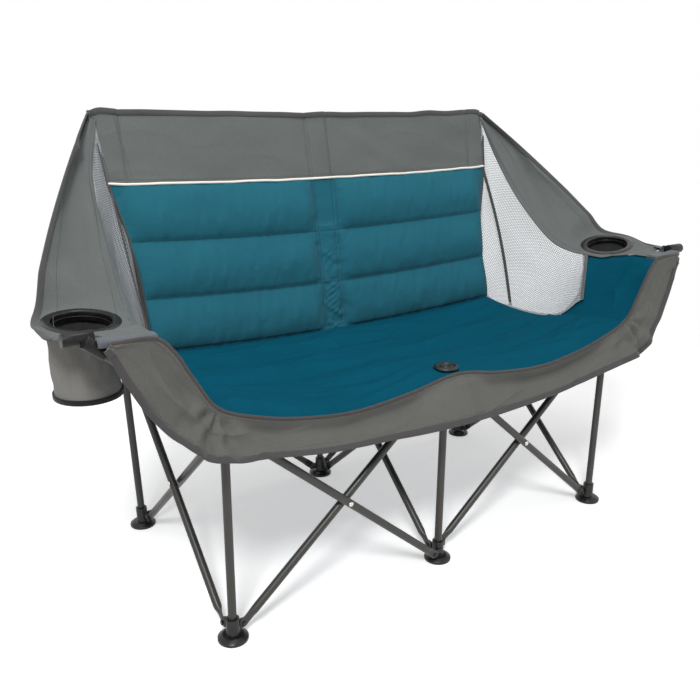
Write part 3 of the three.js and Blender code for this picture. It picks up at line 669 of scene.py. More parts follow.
def rivet(name, centre, normal, low, high, body, node):
    """A pin with a domed head at each end."""
    head, top, pin = 5.2, 2.3, 2.4
    cap = dome(head, top)
    profile = [(0.0, low - top)] + [(r, low - h) for r, h in reversed(cap)] + [(pin, low)]
    profile += [(pin, high), (head, high)] + [(r, high + h) for r, h in cap[1:-1]] + [(0.0, high + top)]
    obj = turned(name, profile, centre, STEEL, 24, normal)
    crisp(obj, 0.9)
    settle(obj, body, "rivet_metal", node)


for name in TUBES:
    scissor_tube(name)
for pair, (one, other) in PAIRS.items():
    origin, along, normal = tube_frame(one)
    layers = sorted((TUBES[one][2], TUBES[other][2]))
    centre = origin + along * TUBE_L / 2 - normal * TUBES[one][2]
    low, high = layers[0] - TUBE_R, layers[1] + TUBE_R
    rivet(f"rivet_{pair}_domed", centre, normal, low, high, one, f"rivet_{pair}")


def copy_of(node, name, material):
    """A CAD solid copied, its flats merged and its edges rounded."""
    mesh = nodes[node].data.copy()
    mesh.materials.clear()
    mesh.materials.append(material)
    merge(mesh, flats=True)
    obj = add_object(name, mesh)
    rounding = obj.modifiers.new("edges", "BEVEL")
    rounding.width = 0.0007
    rounding.segments = 2
    rounding.limit_method = "ANGLE"
    rounding.angle_limit = 0.55
    rounding.use_clamp_overlap = True
    done = apply(obj)
    done.polygons.foreach_set("use_smooth", [True] * len(done.polygons))
    crisp(obj, 0.7)
    return obj


BODY_OF = {n: o["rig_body"] for n, o in nodes.items()}
for node in sorted(nodes):
    if node.startswith(("foot_", "hub_", "collar_", "arm_tip_", "post_plug_")):
        finish = TIP_PLASTIC if node.startswith("arm_tip_") else PLASTIC
        settle(copy_of(node, f"{node}_moulded", finish), BODY_OF[node], "black_plastic", node)

for row in ROW:
    for column in COLUMN:
        ends = [post_point(row, column, z) for z in (POST_FOOT, FRONT_TOP if row == "front" else REAR_TOP)]
        obj = sweep(f"post_{row}_{column}_skin", np.linspace(*ends, 24), circle(TUBE_R, 28), TUBE)
        crisp(obj)
        settle(obj, f"{row}_{column}", "tube_metal", f"post_{row}_{column}")


# Cloth pieces: simulated stuffing, sewn lines and sheet areas
scene = bpy.context.scene


def stuff(name, grid, held, pressure, slack, cap, bend=4.0, steps=20):
    """Puff cloth that is sewn down at its held points; gives back how far each point moved."""
    mesh = bpy.data.meshes.new(name)
    start = metres(grid.reshape(-1, 3))
    mesh.from_pydata(start.tolist(), [], squares(rows_of(*grid.shape[:2])).tolist())
    obj = add_object(name, mesh)
    group = obj.vertex_groups.new(name="sewn")
    weights = np.round(held.ravel(), 2)
    for level in np.unique(weights[weights > 0]):
        group.add(np.nonzero(weights == level)[0].tolist(), float(level), "REPLACE")
    settings = obj.modifiers.new("stuffing", "CLOTH").settings
    cloth_values = dict(
        quality=6, mass=0.2, tension_stiffness=18, compression_stiffness=12, shear_stiffness=6,
        bending_stiffness=bend, vertex_group_mass="sewn", use_pressure=True, uniform_pressure_force=pressure,
        shrink_min=-slack,
    )
    for key, value in cloth_values.items():
        setattr(settings, key, value)
    settings.effector_weights.gravity = 0
    for step in range(1, steps + 1):
        scene.frame_set(step)
    done = obj.evaluated_get(bpy.context.evaluated_depsgraph_get())
    end = np.empty(start.size)
    done.data.vertices.foreach_get("co", end)
    moved = (end.reshape(-1, 3) - start).reshape(grid.shape) * 1000
    bpy.data.objects.remove(obj)
    scene.frame_set(1)
    return moved * np.minimum(1, cap / np.maximum(length_of(moved), 1e-9))


FINER = 2


def finer(field):
    """A smooth denser copy of a grid."""
    for axis in (0, 1):
        field = np.moveaxis(field, axis, 0)
        count = len(field)
        t = np.linspace(0, count - 1, (count - 1) * FINER + 1)
        i = np.minimum(t.astype(int), count - 2)
        w = (t - i).reshape((-1,) + (1,) * (field.ndim - 1))
        p0, p1, p2, p3 = (field[np.clip(i + k, 0, count - 1)] for k in (-1, 0, 1, 2))
        bend = 2 * p0 - 5 * p1 + 4 * p2 - p3 + w * (3 * (p1 - p2) + p3 - p0)
        field = p1 + 0.5 * w * (p2 - p0 + w * bend)
        field = np.moveaxis(field, 0, axis)
    return field


def area_of(grid):
    a = np.cross(grid[1:, 1:] - grid[:-1, :-1], grid[1:, :-1] - grid[:-1, 1:])
    return float(np.linalg.norm(a, axis=-1).sum() / 2) / 1e6


def cut_to(grid, hole=0.0):
    """Reckon a sheet's area from the grid it was made from."""
    wide, long = lengths_of(grid).max((0, 1))
    area = min(area_of(grid) - hole, wide * long)
    area = max(area, 0.3 * wide * long)


def bind(name, edge, inner, material, width=11.0, thickness=3.6):
    """Tape folded over a cloth edge, with its legs toward an inner line."""
    return sweep(name, edge, tape_section(width, thickness), material, guide=inner - edge)


# Back: puffed channels between sewn lines, a flat strip over the middle post
BACK_LOW = dict(y=172, side_y=144, z=426, side_z=451, half=473)
BACK_HIGH = dict(y=234, side_y=228, z=778, side_z=788, half=511)
SEAMS = [0.0, 0.315, 0.66, 1.0]
STRIP = 29.0
ROW_DEPTH = 25.0
BACK_SIDE = 490.0
BACK_WAIST = 16.0
TUCK = 0.075


def back_mid(u, v):
    x = 2 * u - 1
    bow = x * x

    def level(side):
        return [side[k] + (side["side_" + k] - side[k]) * bow for k in ("y", "z")]

    (y0, z0), (y1, z1) = level(BACK_LOW), level(BACK_HIGH)
    half = BACK_LOW["half"] + (BACK_HIGH["half"] - BACK_LOW["half"]) * v
    half = half - BACK_WAIST * arch(np.clip(v, 0, 1))
    return np.stack([x * half, y0 + (y1 - y0) * v, z0 + (z1 - z0) * v], -1)


def plain_puff(u, v, x):
    """The rows' even depth: fullest below the middle, where the stuffing sags."""
    depth = np.zeros_like(u)
    for a, b in zip(SEAMS[:-1], SEAMS[1:]):
        s = np.clip((v - a) / (b - a), 0, 1)
        depth = np.where((v >= a) & (v <= b), arch(s**0.72) ** 0.6 * ROW_DEPTH, depth)
    side = smooth(0, 45, BACK_SIDE - abs(x)) ** 0.6
    return depth * side * (0.08 + 0.92 * smooth(STRIP - 4, STRIP + 34, abs(x)) ** 0.7)


u, v = lattice(220, 90)
v = (1 + TUCK) * v - TUCK
mid = back_mid(u, v)
n = facing(mid, 1, -1)
row_v = v[:, 0]
sewn = np.zeros_like(u)
for seam in SEAMS:
    sewn[np.argmin(abs(row_v - seam))] = 1.0
sewn[row_v < 0] = 1.0
sewn[:, [0, -1]] = 1.0
STRIP_COLUMNS = [int(np.argmin(abs(mid[-1, :, 0] - x))) for x in (-STRIP, STRIP)]
sewn[:, STRIP_COLUMNS] = 1.0
puff = n * plain_puff(u, v, mid[..., 0])[..., None]
puff = 0.6 * puff + 0.4 * stuff("back_stuffing", mid, sewn, 5.0, 0.02, 24)
puff *= np.where((abs(mid[..., 0]) < STRIP) & (v > 0.7), 0.25, 1.0)[..., None]
mid, n, puff, u, v = (finer(f) for f in (mid, n, puff, u, v))
x, z = mid[..., 0], mid[..., 2]
near = np.min([abs(v - seam) * 350 for seam in SEAMS], axis=0)
pucker = peak(near, 14) * rumple(x / 14, v * 9, 3) * 1.5
pucker += peak(near, 34) * rumple(x / 36, v * 6, 5) * 1.6
pucker += peak(abs(x) - STRIP, 14) * rumple(z / 12, np.sign(x) * 3, 8) * 1.5
ruche = (abs(x) < STRIP) * smooth(0.66, 0.5, v) * (0.55 + 0.6 * smooth(0.34, 0.28, v))
ruche = ruche * (3.0 * rumple(z / 13 + 0.05 * x, x / 40, 11) + 1.5 * rumple(z / 6.5 - 0.08 * x, x / 22, 12))
ruche *= np.clip(1 - (abs(x) / STRIP) ** 4, 0, 1)
broad = rumple(x / 110, z / 60, 2) * 2.0 + rumple(x / 45, z / 38, 6) * 0.9
side = smooth(0, 45, BACK_SIDE - abs(x))
front = raised(mid + puff, n, 3.0 + (pucker + broad * smooth(0, 25, near)) * side + ruche)
rear = raised(mid, -n, 2.6 + rumple(x / 90, z / 60, 21))
back = closed_pair("back_cushion", front, rear, TEAL)
on_back(back, "teal_fabric", "back_pad")
lines = []
for seam in SEAMS[1:-1]:
    lines.append(seam_at(front, n, np.argmin(abs(v[:, 0] - seam)), 0.2))
for k in STRIP_COLUMNS:
    lines += [seam_at(front, n, np.s_[14:, k * FINER + shift], 0.2) for shift in (-2, 2)]
on_back(stitches("back_stitching", lines, TEAL_THREAD), "teal_fabric")

# Piping between the padded back and the grey band, and a dark cord down both edges
t = np.linspace(0, 1, 220)
line = back_mid(t, np.ones(220)) + (0, -5.6, 1.5)
line[:, 2] += rumple(t * 26, t * 0, 22)
on_back(sweep("back_piping", line, circle(2.7, 12), CREAM))
for name, share in (("left", 0.001), ("right", 0.999)):
    line = back_mid(np.full(120, share), np.linspace(0, 1, 120)) + (0, -3.0, 0)
    line[:, 0] += 1.2 * rumple(np.linspace(0, 22, 120), np.zeros(120), 23)
    on_back(sweep(f"back_edge_{name}", line, circle(2.2, 10), BINDING))

# Grey band, and the pockets behind it that the rear posts stand in
BAND_TOP = dict(y=263.4, z=927.0, side_z=936.0, half=529.0, corner_drop=7)


def band_mid(u, v):
    x = 2 * u - 1
    base = back_mid(u, np.ones_like(u))
    rise = BAND_TOP["z"] + (BAND_TOP["side_z"] - BAND_TOP["z"]) * x * x
    rise = rise - BAND_TOP["corner_drop"] * smooth(0.93, 1, abs(x)) ** 2
    top = np.stack([x * BAND_TOP["half"], np.full_like(x, BAND_TOP["y"]), rise], -1)
    return base + (top - base) * v[..., None]


u, v = lattice(340, 66)
mid = band_mid(u, v)
n = facing(mid, 1, -1)
x, z = mid[..., 0], mid[..., 2]
POCKETS = ((-494, 27), (0, 29), (494, 27))
pocket = np.zeros_like(x)
for centre, half in POCKETS:
    d = abs(x - centre)
    pocket += np.where(d < half, 4.6 * np.sqrt(np.clip(1 - (d / half) ** 2, 0, 1)), 0)
    pocket -= 2.8 * bell(d - half, 3.4)
    pocket += peak(d - half, 12) * rumple(z / 19, x / 90, 33) * 0.9
loose = 2.6 * rumple(x / 150, z / 60, 31) + 1.5 * rumple(x / 55 + z / 80, z / 48, 32)
loose += 0.7 * crease(x / 170 + z / 90, z / 70 - x / 260, 36)
loose = loose * smooth(0, 0.12, v) * smooth(1, 0.9, v)
wave = 1.6 * rumple(u * 17, v * 0, 34) * smooth(0.7, 1, v)
mid = raised(mid, n, 1.0 + pocket + loose)
mid[..., 2] += wave
band = cloth("band_cloth", mid, 1.8, GREY)
on_back(band, "grey_fabric", "back_band")
lines = []
for centre, half in POCKETS:
    for place in (centre + way * (half + gap) for gap in (1.2, -3.5) for way in (-1, 1)):
        k = int(np.clip(np.argmin(abs(x[33] - place)), 2, x.shape[1] - 3))
        lines.append(seam_at(mid, n, np.s_[2:-2, k]))
lines.append(seam_at(mid, n, 4))
band_thread = on_back(stitches("band_stitching", lines, THREAD))
bound = on_back(bind("band_binding", mid[-1], mid[-7], BINDING, 11.0, 4.6))
cut_to(mid)
for name, sign in COLUMN.items():
    level, around = np.meshgrid(np.linspace(0, 1, 30), np.linspace(0, math.pi, 25), indexing="ij")
    height = 792 + 131 * level
    axis = np.array([post_point("rear", name, h) for h in height[:, 0]])[:, None]
    ahead = 236 + 29 * level
    behind = ahead + (axis[..., 1] + 11 - ahead) * np.clip(np.sin(around) * 1.35, 0, 1) ** 0.8
    wide, inset = (27, 0) if sign == 0 else (18.5, 5)
    shape = np.stack([axis[..., 0] - sign * inset - wide * np.cos(around), behind, height], -1)
    shape[..., 1] += 1.2 * rumple(height / 21, around * 2, 35 + sign) * np.sin(around)
    sleeve = on_back(cloth(f"post_pocket_{name}", shape, 1.6, GREY))
    cut_to(shape)

# Side flaps: from the back's edges to sleeves round the outer rear posts, in dark cloth that also gives the
# painted shade seen through the net's holes
for name, sign in SIDES.items():
    v = np.linspace(0.02, 1.24, 60)
    edge = back_mid(np.full(60, 0.5 + sign * 0.498), v) + (0, 3.5, 0)
    edge += smooth(0.3, 0.9, v)[:, None] * (sign * 2.0, -12.0, 0)
    axis = np.array([post_point("rear", name, h) for h in edge[:, 2]])
    turn = np.linspace(-0.5, 1.4, 14) * math.pi
    wrap = axis[:, None] + 9.6 * np.stack([sign * np.cos(turn), np.sin(turn), 0 * turn], -1)
    w = np.linspace(0, 1, 24)[:-1][None, :, None]
    flat = edge[:, None] * (1 - w) + wrap[:, :1] * w
    flat[..., 0] += sign * 3.0 * arch(w[..., 0]) * rumple(v * 7, v * 0, 37 + sign)[:, None]
    shape = np.concatenate([flat, wrap], 1)
    flap = on_back(cloth(f"back_flap_{name}", shape, 1.4, BINDING))
    cut_to(shape)


# Seat: a shallow hammock with soft channels and creases that run in from the rim
SEAT_SIDE = [(502, RIM_Y, 466), (514, -152, 460), (500, -60, 434), (484, 40, 432), (470, 142, 447)]
SEAT_MIDDLE = [(0, RIM_Y, 438), (0, -160, 424), (0, -60, 410), (0, 50, 410), (0, 170, 423)]
SKIRT_RIM = [(0, -279, 438), (120, -279, 420), (240, -279, 411), (340, -279, 421), (430, -279, 441),
             (511, -279, 474), (550, -279, 531), (580, -279, 583), (606, -279, 608), (676, -280.5, 612)]
SKIRT_HEM = [(0, -327, 350), (120, -327, 353), (240, -327, 363), (350, -327, 376), (450, -327, 389),
             (535, -326, 404), (592, -314, 447), (636, -300, 500), (664, -288, 552), (686, -279, 602)]
CHANNELS = 4
SEAT_DEPTH = 440


def both_ways(half):
    return [(-x, y, z) for x, y, z in reversed(half[1:])] + list(half)


RIM_LINE = curve(both_ways(SKIRT_RIM), np.linspace(0, 1, 800))


def seat_mid(u, v):
    x = 2 * u - 1
    side, middle = curve(SEAT_SIDE, v), curve(SEAT_MIDDLE, v)
    share = abs(x) ** 2.2
    dip = 34 * arch(x) ** 2 * (1 - v) ** 2
    y = middle[..., 1] + (side[..., 1] - middle[..., 1]) * share
    z = middle[..., 2] + (side[..., 2] - middle[..., 2]) * share - dip
    across = x * (side[..., 0] + 4 * smooth(0.25, 0, v))
    flat = np.interp(x * 506, RIM_LINE[:, 0], RIM_LINE[:, 2]) - 1.5
    lip = (z[0] - flat[0])[None] * (1 - v) ** 3.5
    return np.stack([across, y - 1.6 * (1 - v) ** 4, z - lip], -1)


def edge_inset(u, v):
    """Rough distance to the seat's nearest edge."""
    return np.minimum(np.minimum(u, 1 - u) * 1000, np.minimum(v, 1 - v) * SEAT_DEPTH)


SEAT_ROWS = 96
u, v = lattice(200, SEAT_ROWS)
mid = seat_mid(u, v)
n = facing(mid, 2, 1)
held = np.zeros_like(u)
held[[0, -1]] = 1.0
held[:, [0, -1]] = 1.0
rows = [int(round(k / CHANNELS * SEAT_ROWS)) for k in range(1, CHANNELS)]
held[rows] = 0.9
x, y = mid[..., 0], mid[..., 1]
held[np.hypot(x, y + ROW_Y) < 27] = 1.0
phase = abs(((v * CHANNELS + 0.5) % 1) - 0.5) * SEAT_DEPTH / CHANNELS
puff = n * (smooth(0, 55, edge_inset(u, v)) * (11 - 9.5 * bell(phase, 17)))[..., None]
puff = 0.65 * puff + 0.35 * stuff("seat_stuffing", mid, held, 2.5, 0.01, 14)
mid, n, puff, u, v = (finer(f) for f in (mid, n, puff, u, v))
x, y = mid[..., 0], mid[..., 1]
crown = smooth(0, 45, edge_inset(u, v))
corner = bell(abs(x) - 440, 120) * bell(y + 235, 70)
rays = 2.6 * corner * np.sin(0.045 * (abs(x) - 500) + 0.1 * (y + 276) + 1.8 * rumple(x / 60, y / 60, 43))
side_folds = 3.0 * smooth(0.7, 0.97, abs(2 * u - 1)) * rumple(y / 36 + x / 300, x / 160, 44)
broad = 4.2 * rumple(x / 230, y / 75, 45) + 1.8 * rumple(x / 95, y / 40, 46)
front_folds = bell(y + 215, 46) * bell(abs(x - 60) - 170, 140)
ripple = (y + 250 + 0.13 * abs(x)) / 8.5 + 1.3 * rumple(x / 70, y / 40, 47)
front_folds = front_folds * 4.2 * np.sin(ripple)
sharp = 4.2 * crease(x / 260 + y / 400, y / 52 - x / 520, 48) + 2.6 * crease(x / 120, y / 34 + x / 300, 49)
top = raised(mid + puff, n, 2.0 + crown * (1.5 + rays + side_folds + broad + front_folds + sharp))
bottom = raised(mid, -n, 2.0 + 2.0 * crown)
seat = closed_pair("seat_cushion", top, bottom, SHADED_TEAL)
settle(seat, "seat", "teal_fabric", "seat_pad", fold=ACROSS)

# Seat button: a ribbed cap with a dished middle
BUTTON = (0.0, -ROW_Y, 441.0)
BUTTON_PROFILE = [(0, 1.6), (3.6, 1.6), (4.4, 3.0), (6.6, 3.2), (8.0, 4.6), (10.5, 5.0), (12.0, 3.4),
                  (17.0, 3.2), (18.5, 4.7), (21.0, 4.9), (24.0, 3.8), (26.0, 1.4), (26.0, 0.2), (24.5, 0),
                  (0, 0)]
knob = turned("seat_button_cap", BUTTON_PROFILE, BUTTON, PLASTIC, 56)
crisp(knob, 0.5)
settle(knob, "hub_center", "black_plastic", "seat_button")


# Skirt: grey cloth from the rim to the hem, with ends that climb to the arm tips
u, v = lattice(560, 64)
mid = ruled(both_ways(SKIRT_RIM), both_ways(SKIRT_HEM), u, v)
n = facing(mid, 1, -1)
x, z = mid[..., 0], mid[..., 2]
ax = abs(x)
free = smooth(0, 0.3, v)
run = abs(2 * u - 1)
swell = 7.0 * rumple(x / 150 + 4, v * 1.5, 51) + 3.8 * rumple(x / 66, v * 2.2, 52)
ridge = 9.0 * peak(x - 10, 34) * smooth(0, 0.25, v)
under = -13.0 * bell(v - 0.24, 0.17) * smooth(30, 110, ax) * smooth(500, 400, ax)
corner_x, corner_z = SKIRT_RIM[5][0], SKIRT_RIM[5][2]
seam_x = corner_x + (SKIRT_HEM[5][0] - corner_x) * v
near = bell(ax - seam_x, 48)
crumple = 7.5 * rumple((ax + 1.1 * z) / 27, v * 1.8 + np.sign(x) * 3, 53)
crumple = near * (crumple + 3.4 * rumple((ax - 0.6 * z) / 15, z / 24, 54))
arm_folds = smooth(0.6, 0.75, run) * 5.0 * rumple(z / 42 - ax / 160, ax / 55, 55)
seam = 3.4 * bell(ax - seam_x, 4.5) * smooth(0.02, 0.1, v)
belly = 3.5 * arch(v) * smooth(0.95, 0.7, run)
reach = np.hypot(ax - corner_x, z - corner_z) / 48
turn = np.arctan2(z - corner_z, ax - corner_x)
star = 4.0 * np.sin(7 * turn + 0.8 * np.sign(x)) * reach * np.exp(1 - reach)
long_folds = 3.6 * crease(x / 190, v * 1.7 + x / 420, 57)
long_folds += smooth(0.55, 0.7, run) * 4.5 * crease(ax / 60 - z / 150, z / 110, 58)
push = free * (swell + crumple + arm_folds + star + long_folds) + ridge + under - seam - belly
mid = raised(mid, n, push)
skirt = cloth("skirt_cloth", mid, 1.6, SHADED_GREY)
on_skirt(skirt, "front_skirt")
proud = np.array([0, -0.4, 0.8])
rim_tape = on_skirt(bind("rim_piping", mid[0] + proud, mid[4] + proud, RIM_TAPE, 4.0, 4.8))
hem = on_skirt(bind("skirt_hem", mid[-1], mid[-5], HEM))
lines = [seam_at(mid, n, row) for row in (-10, 6)]
for sign in (-1, 1):
    columns = [int(np.argmin(abs(x[r] - sign * (seam_x[r, 0] + 6)))) for r in range(len(x))]
    pick = (np.arange(len(x))[3:-8], np.array(columns)[3:-8])
    lines.append(seam_at(mid, n, pick))
skirt_thread = on_skirt(stitches("skirt_stitching", lines, THREAD))
cut_to(mid)


# Side wings, mesh panels and arm linings
WING_INNER = [(516, 254, 914), (544, 212, 812), (556, 128, 706), (570, 12, 610), (579, -38, 593),
              (590, -90, 588), (597, -160, 597), (602, -206, 607), (603, -217, 608), (603, RIM_Y, 610)]
WING_OUTER = [(529, 258.5, 927), (594, 172, 842), (662, 74, 742), (716, -14, 652), (738, -60, 622),
              (748, -105, 613), (750, -165, 609), (744, -206, 609), (684, -217, 610), (672, RIM_Y, 611)]
MESH_LOW = [(517, 247, 884), (488, 206, 700), (474, 150, 455), (484, 40, 434), (500, -62, 437),
            (514, -150, 464)]
LINING_FRONT = [(505, -278, 466), (549, -278, 530), (580, -278, 582), (611, -277, 606.5)]
LINING_REAR = [(510, -90, 443), (541, -110, 495), (569, -106, 545), (597, -92, 586.5)]
HOLE_R = 63.0


def along_edge(edge, share):
    """Points at shares of a grid's edge."""
    return sample(edge, np.linspace(0, 1, len(edge)), share)


def cup_slope(side, out, behind):
    return CUP_TILT_IN[side] * out + CUP_TILT_FORWARD * behind


def cup_normal(side, mirror):
    return (-mirror * CUP_TILT_IN[side], -CUP_TILT_FORWARD, 1.0)


def cup_centre(side, mirror):
    x, y, z = CUP[side]
    return np.array([mirror * x, y, z])


def cut_round(obj, centre, radius, normal):
    """Cut a round opening through a sheet."""
    cutter = turned("cutter", [(0, -40), (radius, -40), (radius, 40), (0, 40)], centre, PLASTIC, 96, normal)
    cut = obj.modifiers.new("opening", "BOOLEAN")
    cut.object = cutter
    cut.operation = "DIFFERENCE"
    cut.solver = "EXACT"
    done = apply(obj)
    bpy.data.objects.remove(cutter)
    while len(done.materials) > 1:
        done.materials.pop()


def on_arm(side, obj, *replaced, slot="grey_fabric"):
    return settle(obj, f"front_{side}", slot, *replaced, fold=DEEP)


def wing_of(side, mirror):
    """The side wing with the arm top; gives back its inner edge."""
    cup, columns = CUP[side], 320
    u, v = lattice(columns, 60)
    grid = ruled(WING_INNER, WING_OUTER, u, v, mirror)
    n = facing(grid, 2, 1)
    out, behind, z = abs(grid[..., 0]) - cup[0], grid[..., 1] - cup[1], grid[..., 2]
    far = np.hypot(out, behind)
    free = smooth(67, 102, far)
    open_ = smooth(0, 0.16, v) * smooth(1, 0.86, v)
    steep = smooth(612, 690, z)
    fold = 7.0 * rumple(u * 6.5 - v * 1.6, v * 1.8, 61 + mirror)
    fold += 3.6 * rumple(u * 15 + v * 3, v * 3.2, 64 + mirror)
    fold += 3.5 * np.sin(2 * math.pi * (2.1 * u + 0.9 * v))
    fold += 5.0 * crease(u * 5.5 + v * 1.2, v * 2.6 - u * 2, 66 + mirror)
    billow = -9.0 * arch(v) * steep
    gather = 3.0 * bell(far - 95, 32) * np.sin(7 * np.arctan2(behind, out)) * steep
    grid = raised(grid, n, (open_ * (fold + gather) + billow) * (0.2 + 0.8 * steep) * free)
    level = cup[2] + cup_slope(side, out, behind)
    grid[..., 2] = level + (grid[..., 2] - level) * free
    wing = cloth(f"wing_cloth_{side}", grid, 1.6, GREY)
    cut_round(wing, cup_centre(side, mirror), HOLE_R, cup_normal(side, mirror))
    on_arm(side, wing, f"wing_{side}")
    last, first = int(0.79 * columns), int(0.56 * columns)
    outer, inner = grid[-1, :last], grid[0, :first]
    binding = on_arm(side, bind(f"wing_binding_{side}", outer, grid[-6, :last], BINDING))
    seam = on_arm(side, bind(f"wing_edge_{side}", inner, grid[5, :first], GREY, 6.0, 3.0))
    lines = [seam_at(grid, n, np.s_[r, 4:c], 0.9) for r, c in ((-14, last), (6, first))]
    thread = on_arm(side, stitches(f"wing_stitching_{side}", lines, THREAD))
    hole = math.pi * (HOLE_R / 1000) ** 2
    cut_to(grid, hole)
    return grid[0]


def mesh_of(side, mirror, inner_edge):
    """The net between wing, back and seat, with its tapes and the strap on its outside."""
    columns = 170
    u, v = lattice(columns, 80)
    top = along_edge(inner_edge, u[0] * 5 / 9) + (0, 0, -2.0)
    down = (v * (1 - 0.22 * smooth(0.8, 1, u) ** 2))[..., None]
    grid = top * (1 - down) + curve(MESH_LOW, u[0]) * (mirror, 1, 1) * down
    n = facing(grid, 0, mirror)
    hold = arch(u) ** 0.7 * arch(v)
    slump = 7.0 * bell(v - 0.82, 0.14) * arch(u) * rumple(u * 5, v * 2, 73)
    bulge = 4.0 * rumple(u * 4, v * 3, 71 + mirror) + 2.0 * rumple(u * 9 + v * 2, v * 6, 72)
    bulge = 9.0 * hold + hold * bulge + slump
    grid = raised(grid, n, bulge)
    net = cloth(f"mesh_net_{side}", grid, 0.8, NET)
    on_arm(side, net, f"mesh_{side}", slot="mesh_fabric")
    k = len(u[0]) // 6
    low, front = grid[-1, k:], grid[:, -1]
    low_tape = on_arm(side, bind(f"mesh_edge_{side}", low, grid[-4, k:], NET_TAPE, 4.5, 2.2))
    front_tape = on_arm(side, bind(f"mesh_front_{side}", front, grid[:, -5], GREY, 7.0, 2.6))
    start, end = (grid[-1, int(share * columns)] for share in (0.10, 0.56))
    t = np.linspace(0, 1, 40)
    bow = arch(t)
    path = start + (end - start) * t[:, None] + np.stack([mirror * (6 + 5 * bow), -9 * bow, 0 * t], -1)
    section = [(-4.5, -0.7), (4.5, -0.7), (4.8, 0), (4.5, 0.7), (-4.5, 0.7), (-4.8, 0)]
    guide = np.tile([0.0, 1.0, 0.35], (40, 1))
    strap = on_arm(side, sweep(f"mesh_strap_{side}", path, section, BINDING, guide=guide))
    cut_to(grid)


def lining_of(side, mirror, inner_edge):
    """The teal pad inside the arm, and the light sleeve round the arm's front."""
    u, v = lattice(70, 80)
    grid = ruled(LINING_FRONT, LINING_REAR, u, v, mirror)
    top = along_edge(inner_edge, 1 - v[:, 0] * 4 / 9) + (mirror * 6.0, 0, -2.5)
    grid = grid + (top - grid[:, -1])[:, None] * u[..., None] ** 3
    n = facing(grid, 0, -mirror)
    hold = np.clip(arch(u) * arch(v), 0, 1)
    hollow = -13.0 * arch(np.clip(u * 1.1, 0, 1)) * arch(v) ** 0.5
    soft = 9.0 * rumple(u * 3 + v * 1.4, v * 2.2, 81 + mirror) + 2.4 * rumple(u * 8 + v * 3, v * 5, 83)
    soft = 3.0 * np.sqrt(hold) + hold * (soft + 3.0 * crease(u * 2.4 + v * 1.1, v * 2.2 - u, 84))
    faces = (raised(grid, n, hollow + depth) for depth in (1.0 + soft, -1.6))
    lining = closed_pair(f"lining_pad_{side}", *faces, SHADED_TEAL)
    on_arm(side, lining, f"lining_{side}", slot="teal_fabric")

    t = np.linspace(0, 1, 40)
    bow = arch(t)
    path = np.stack([mirror * (604 + 88 * t), -263 - 1.0 * bow, 607.5 + 3.0 * t - 2.0 * bow], -1)
    round_ = circle(1.0, 36)
    oval = np.sign(round_) * abs(round_) ** (0.45, 0.6) * (14.0, 6.4)
    swell = 1 + 0.03 * rumple(t * 9, t * 0, 86)
    guide = np.tile([0, 1.0, 0], (40, 1))
    sleeve = on_arm(side, sweep(f"arm_sleeve_{side}", path, oval, LIGHT_GREY, guide=guide, scale=swell))


POUCH_R = 56.4
POUCH_DEEP = 127.3
POUCH_CLOTH = 1.6


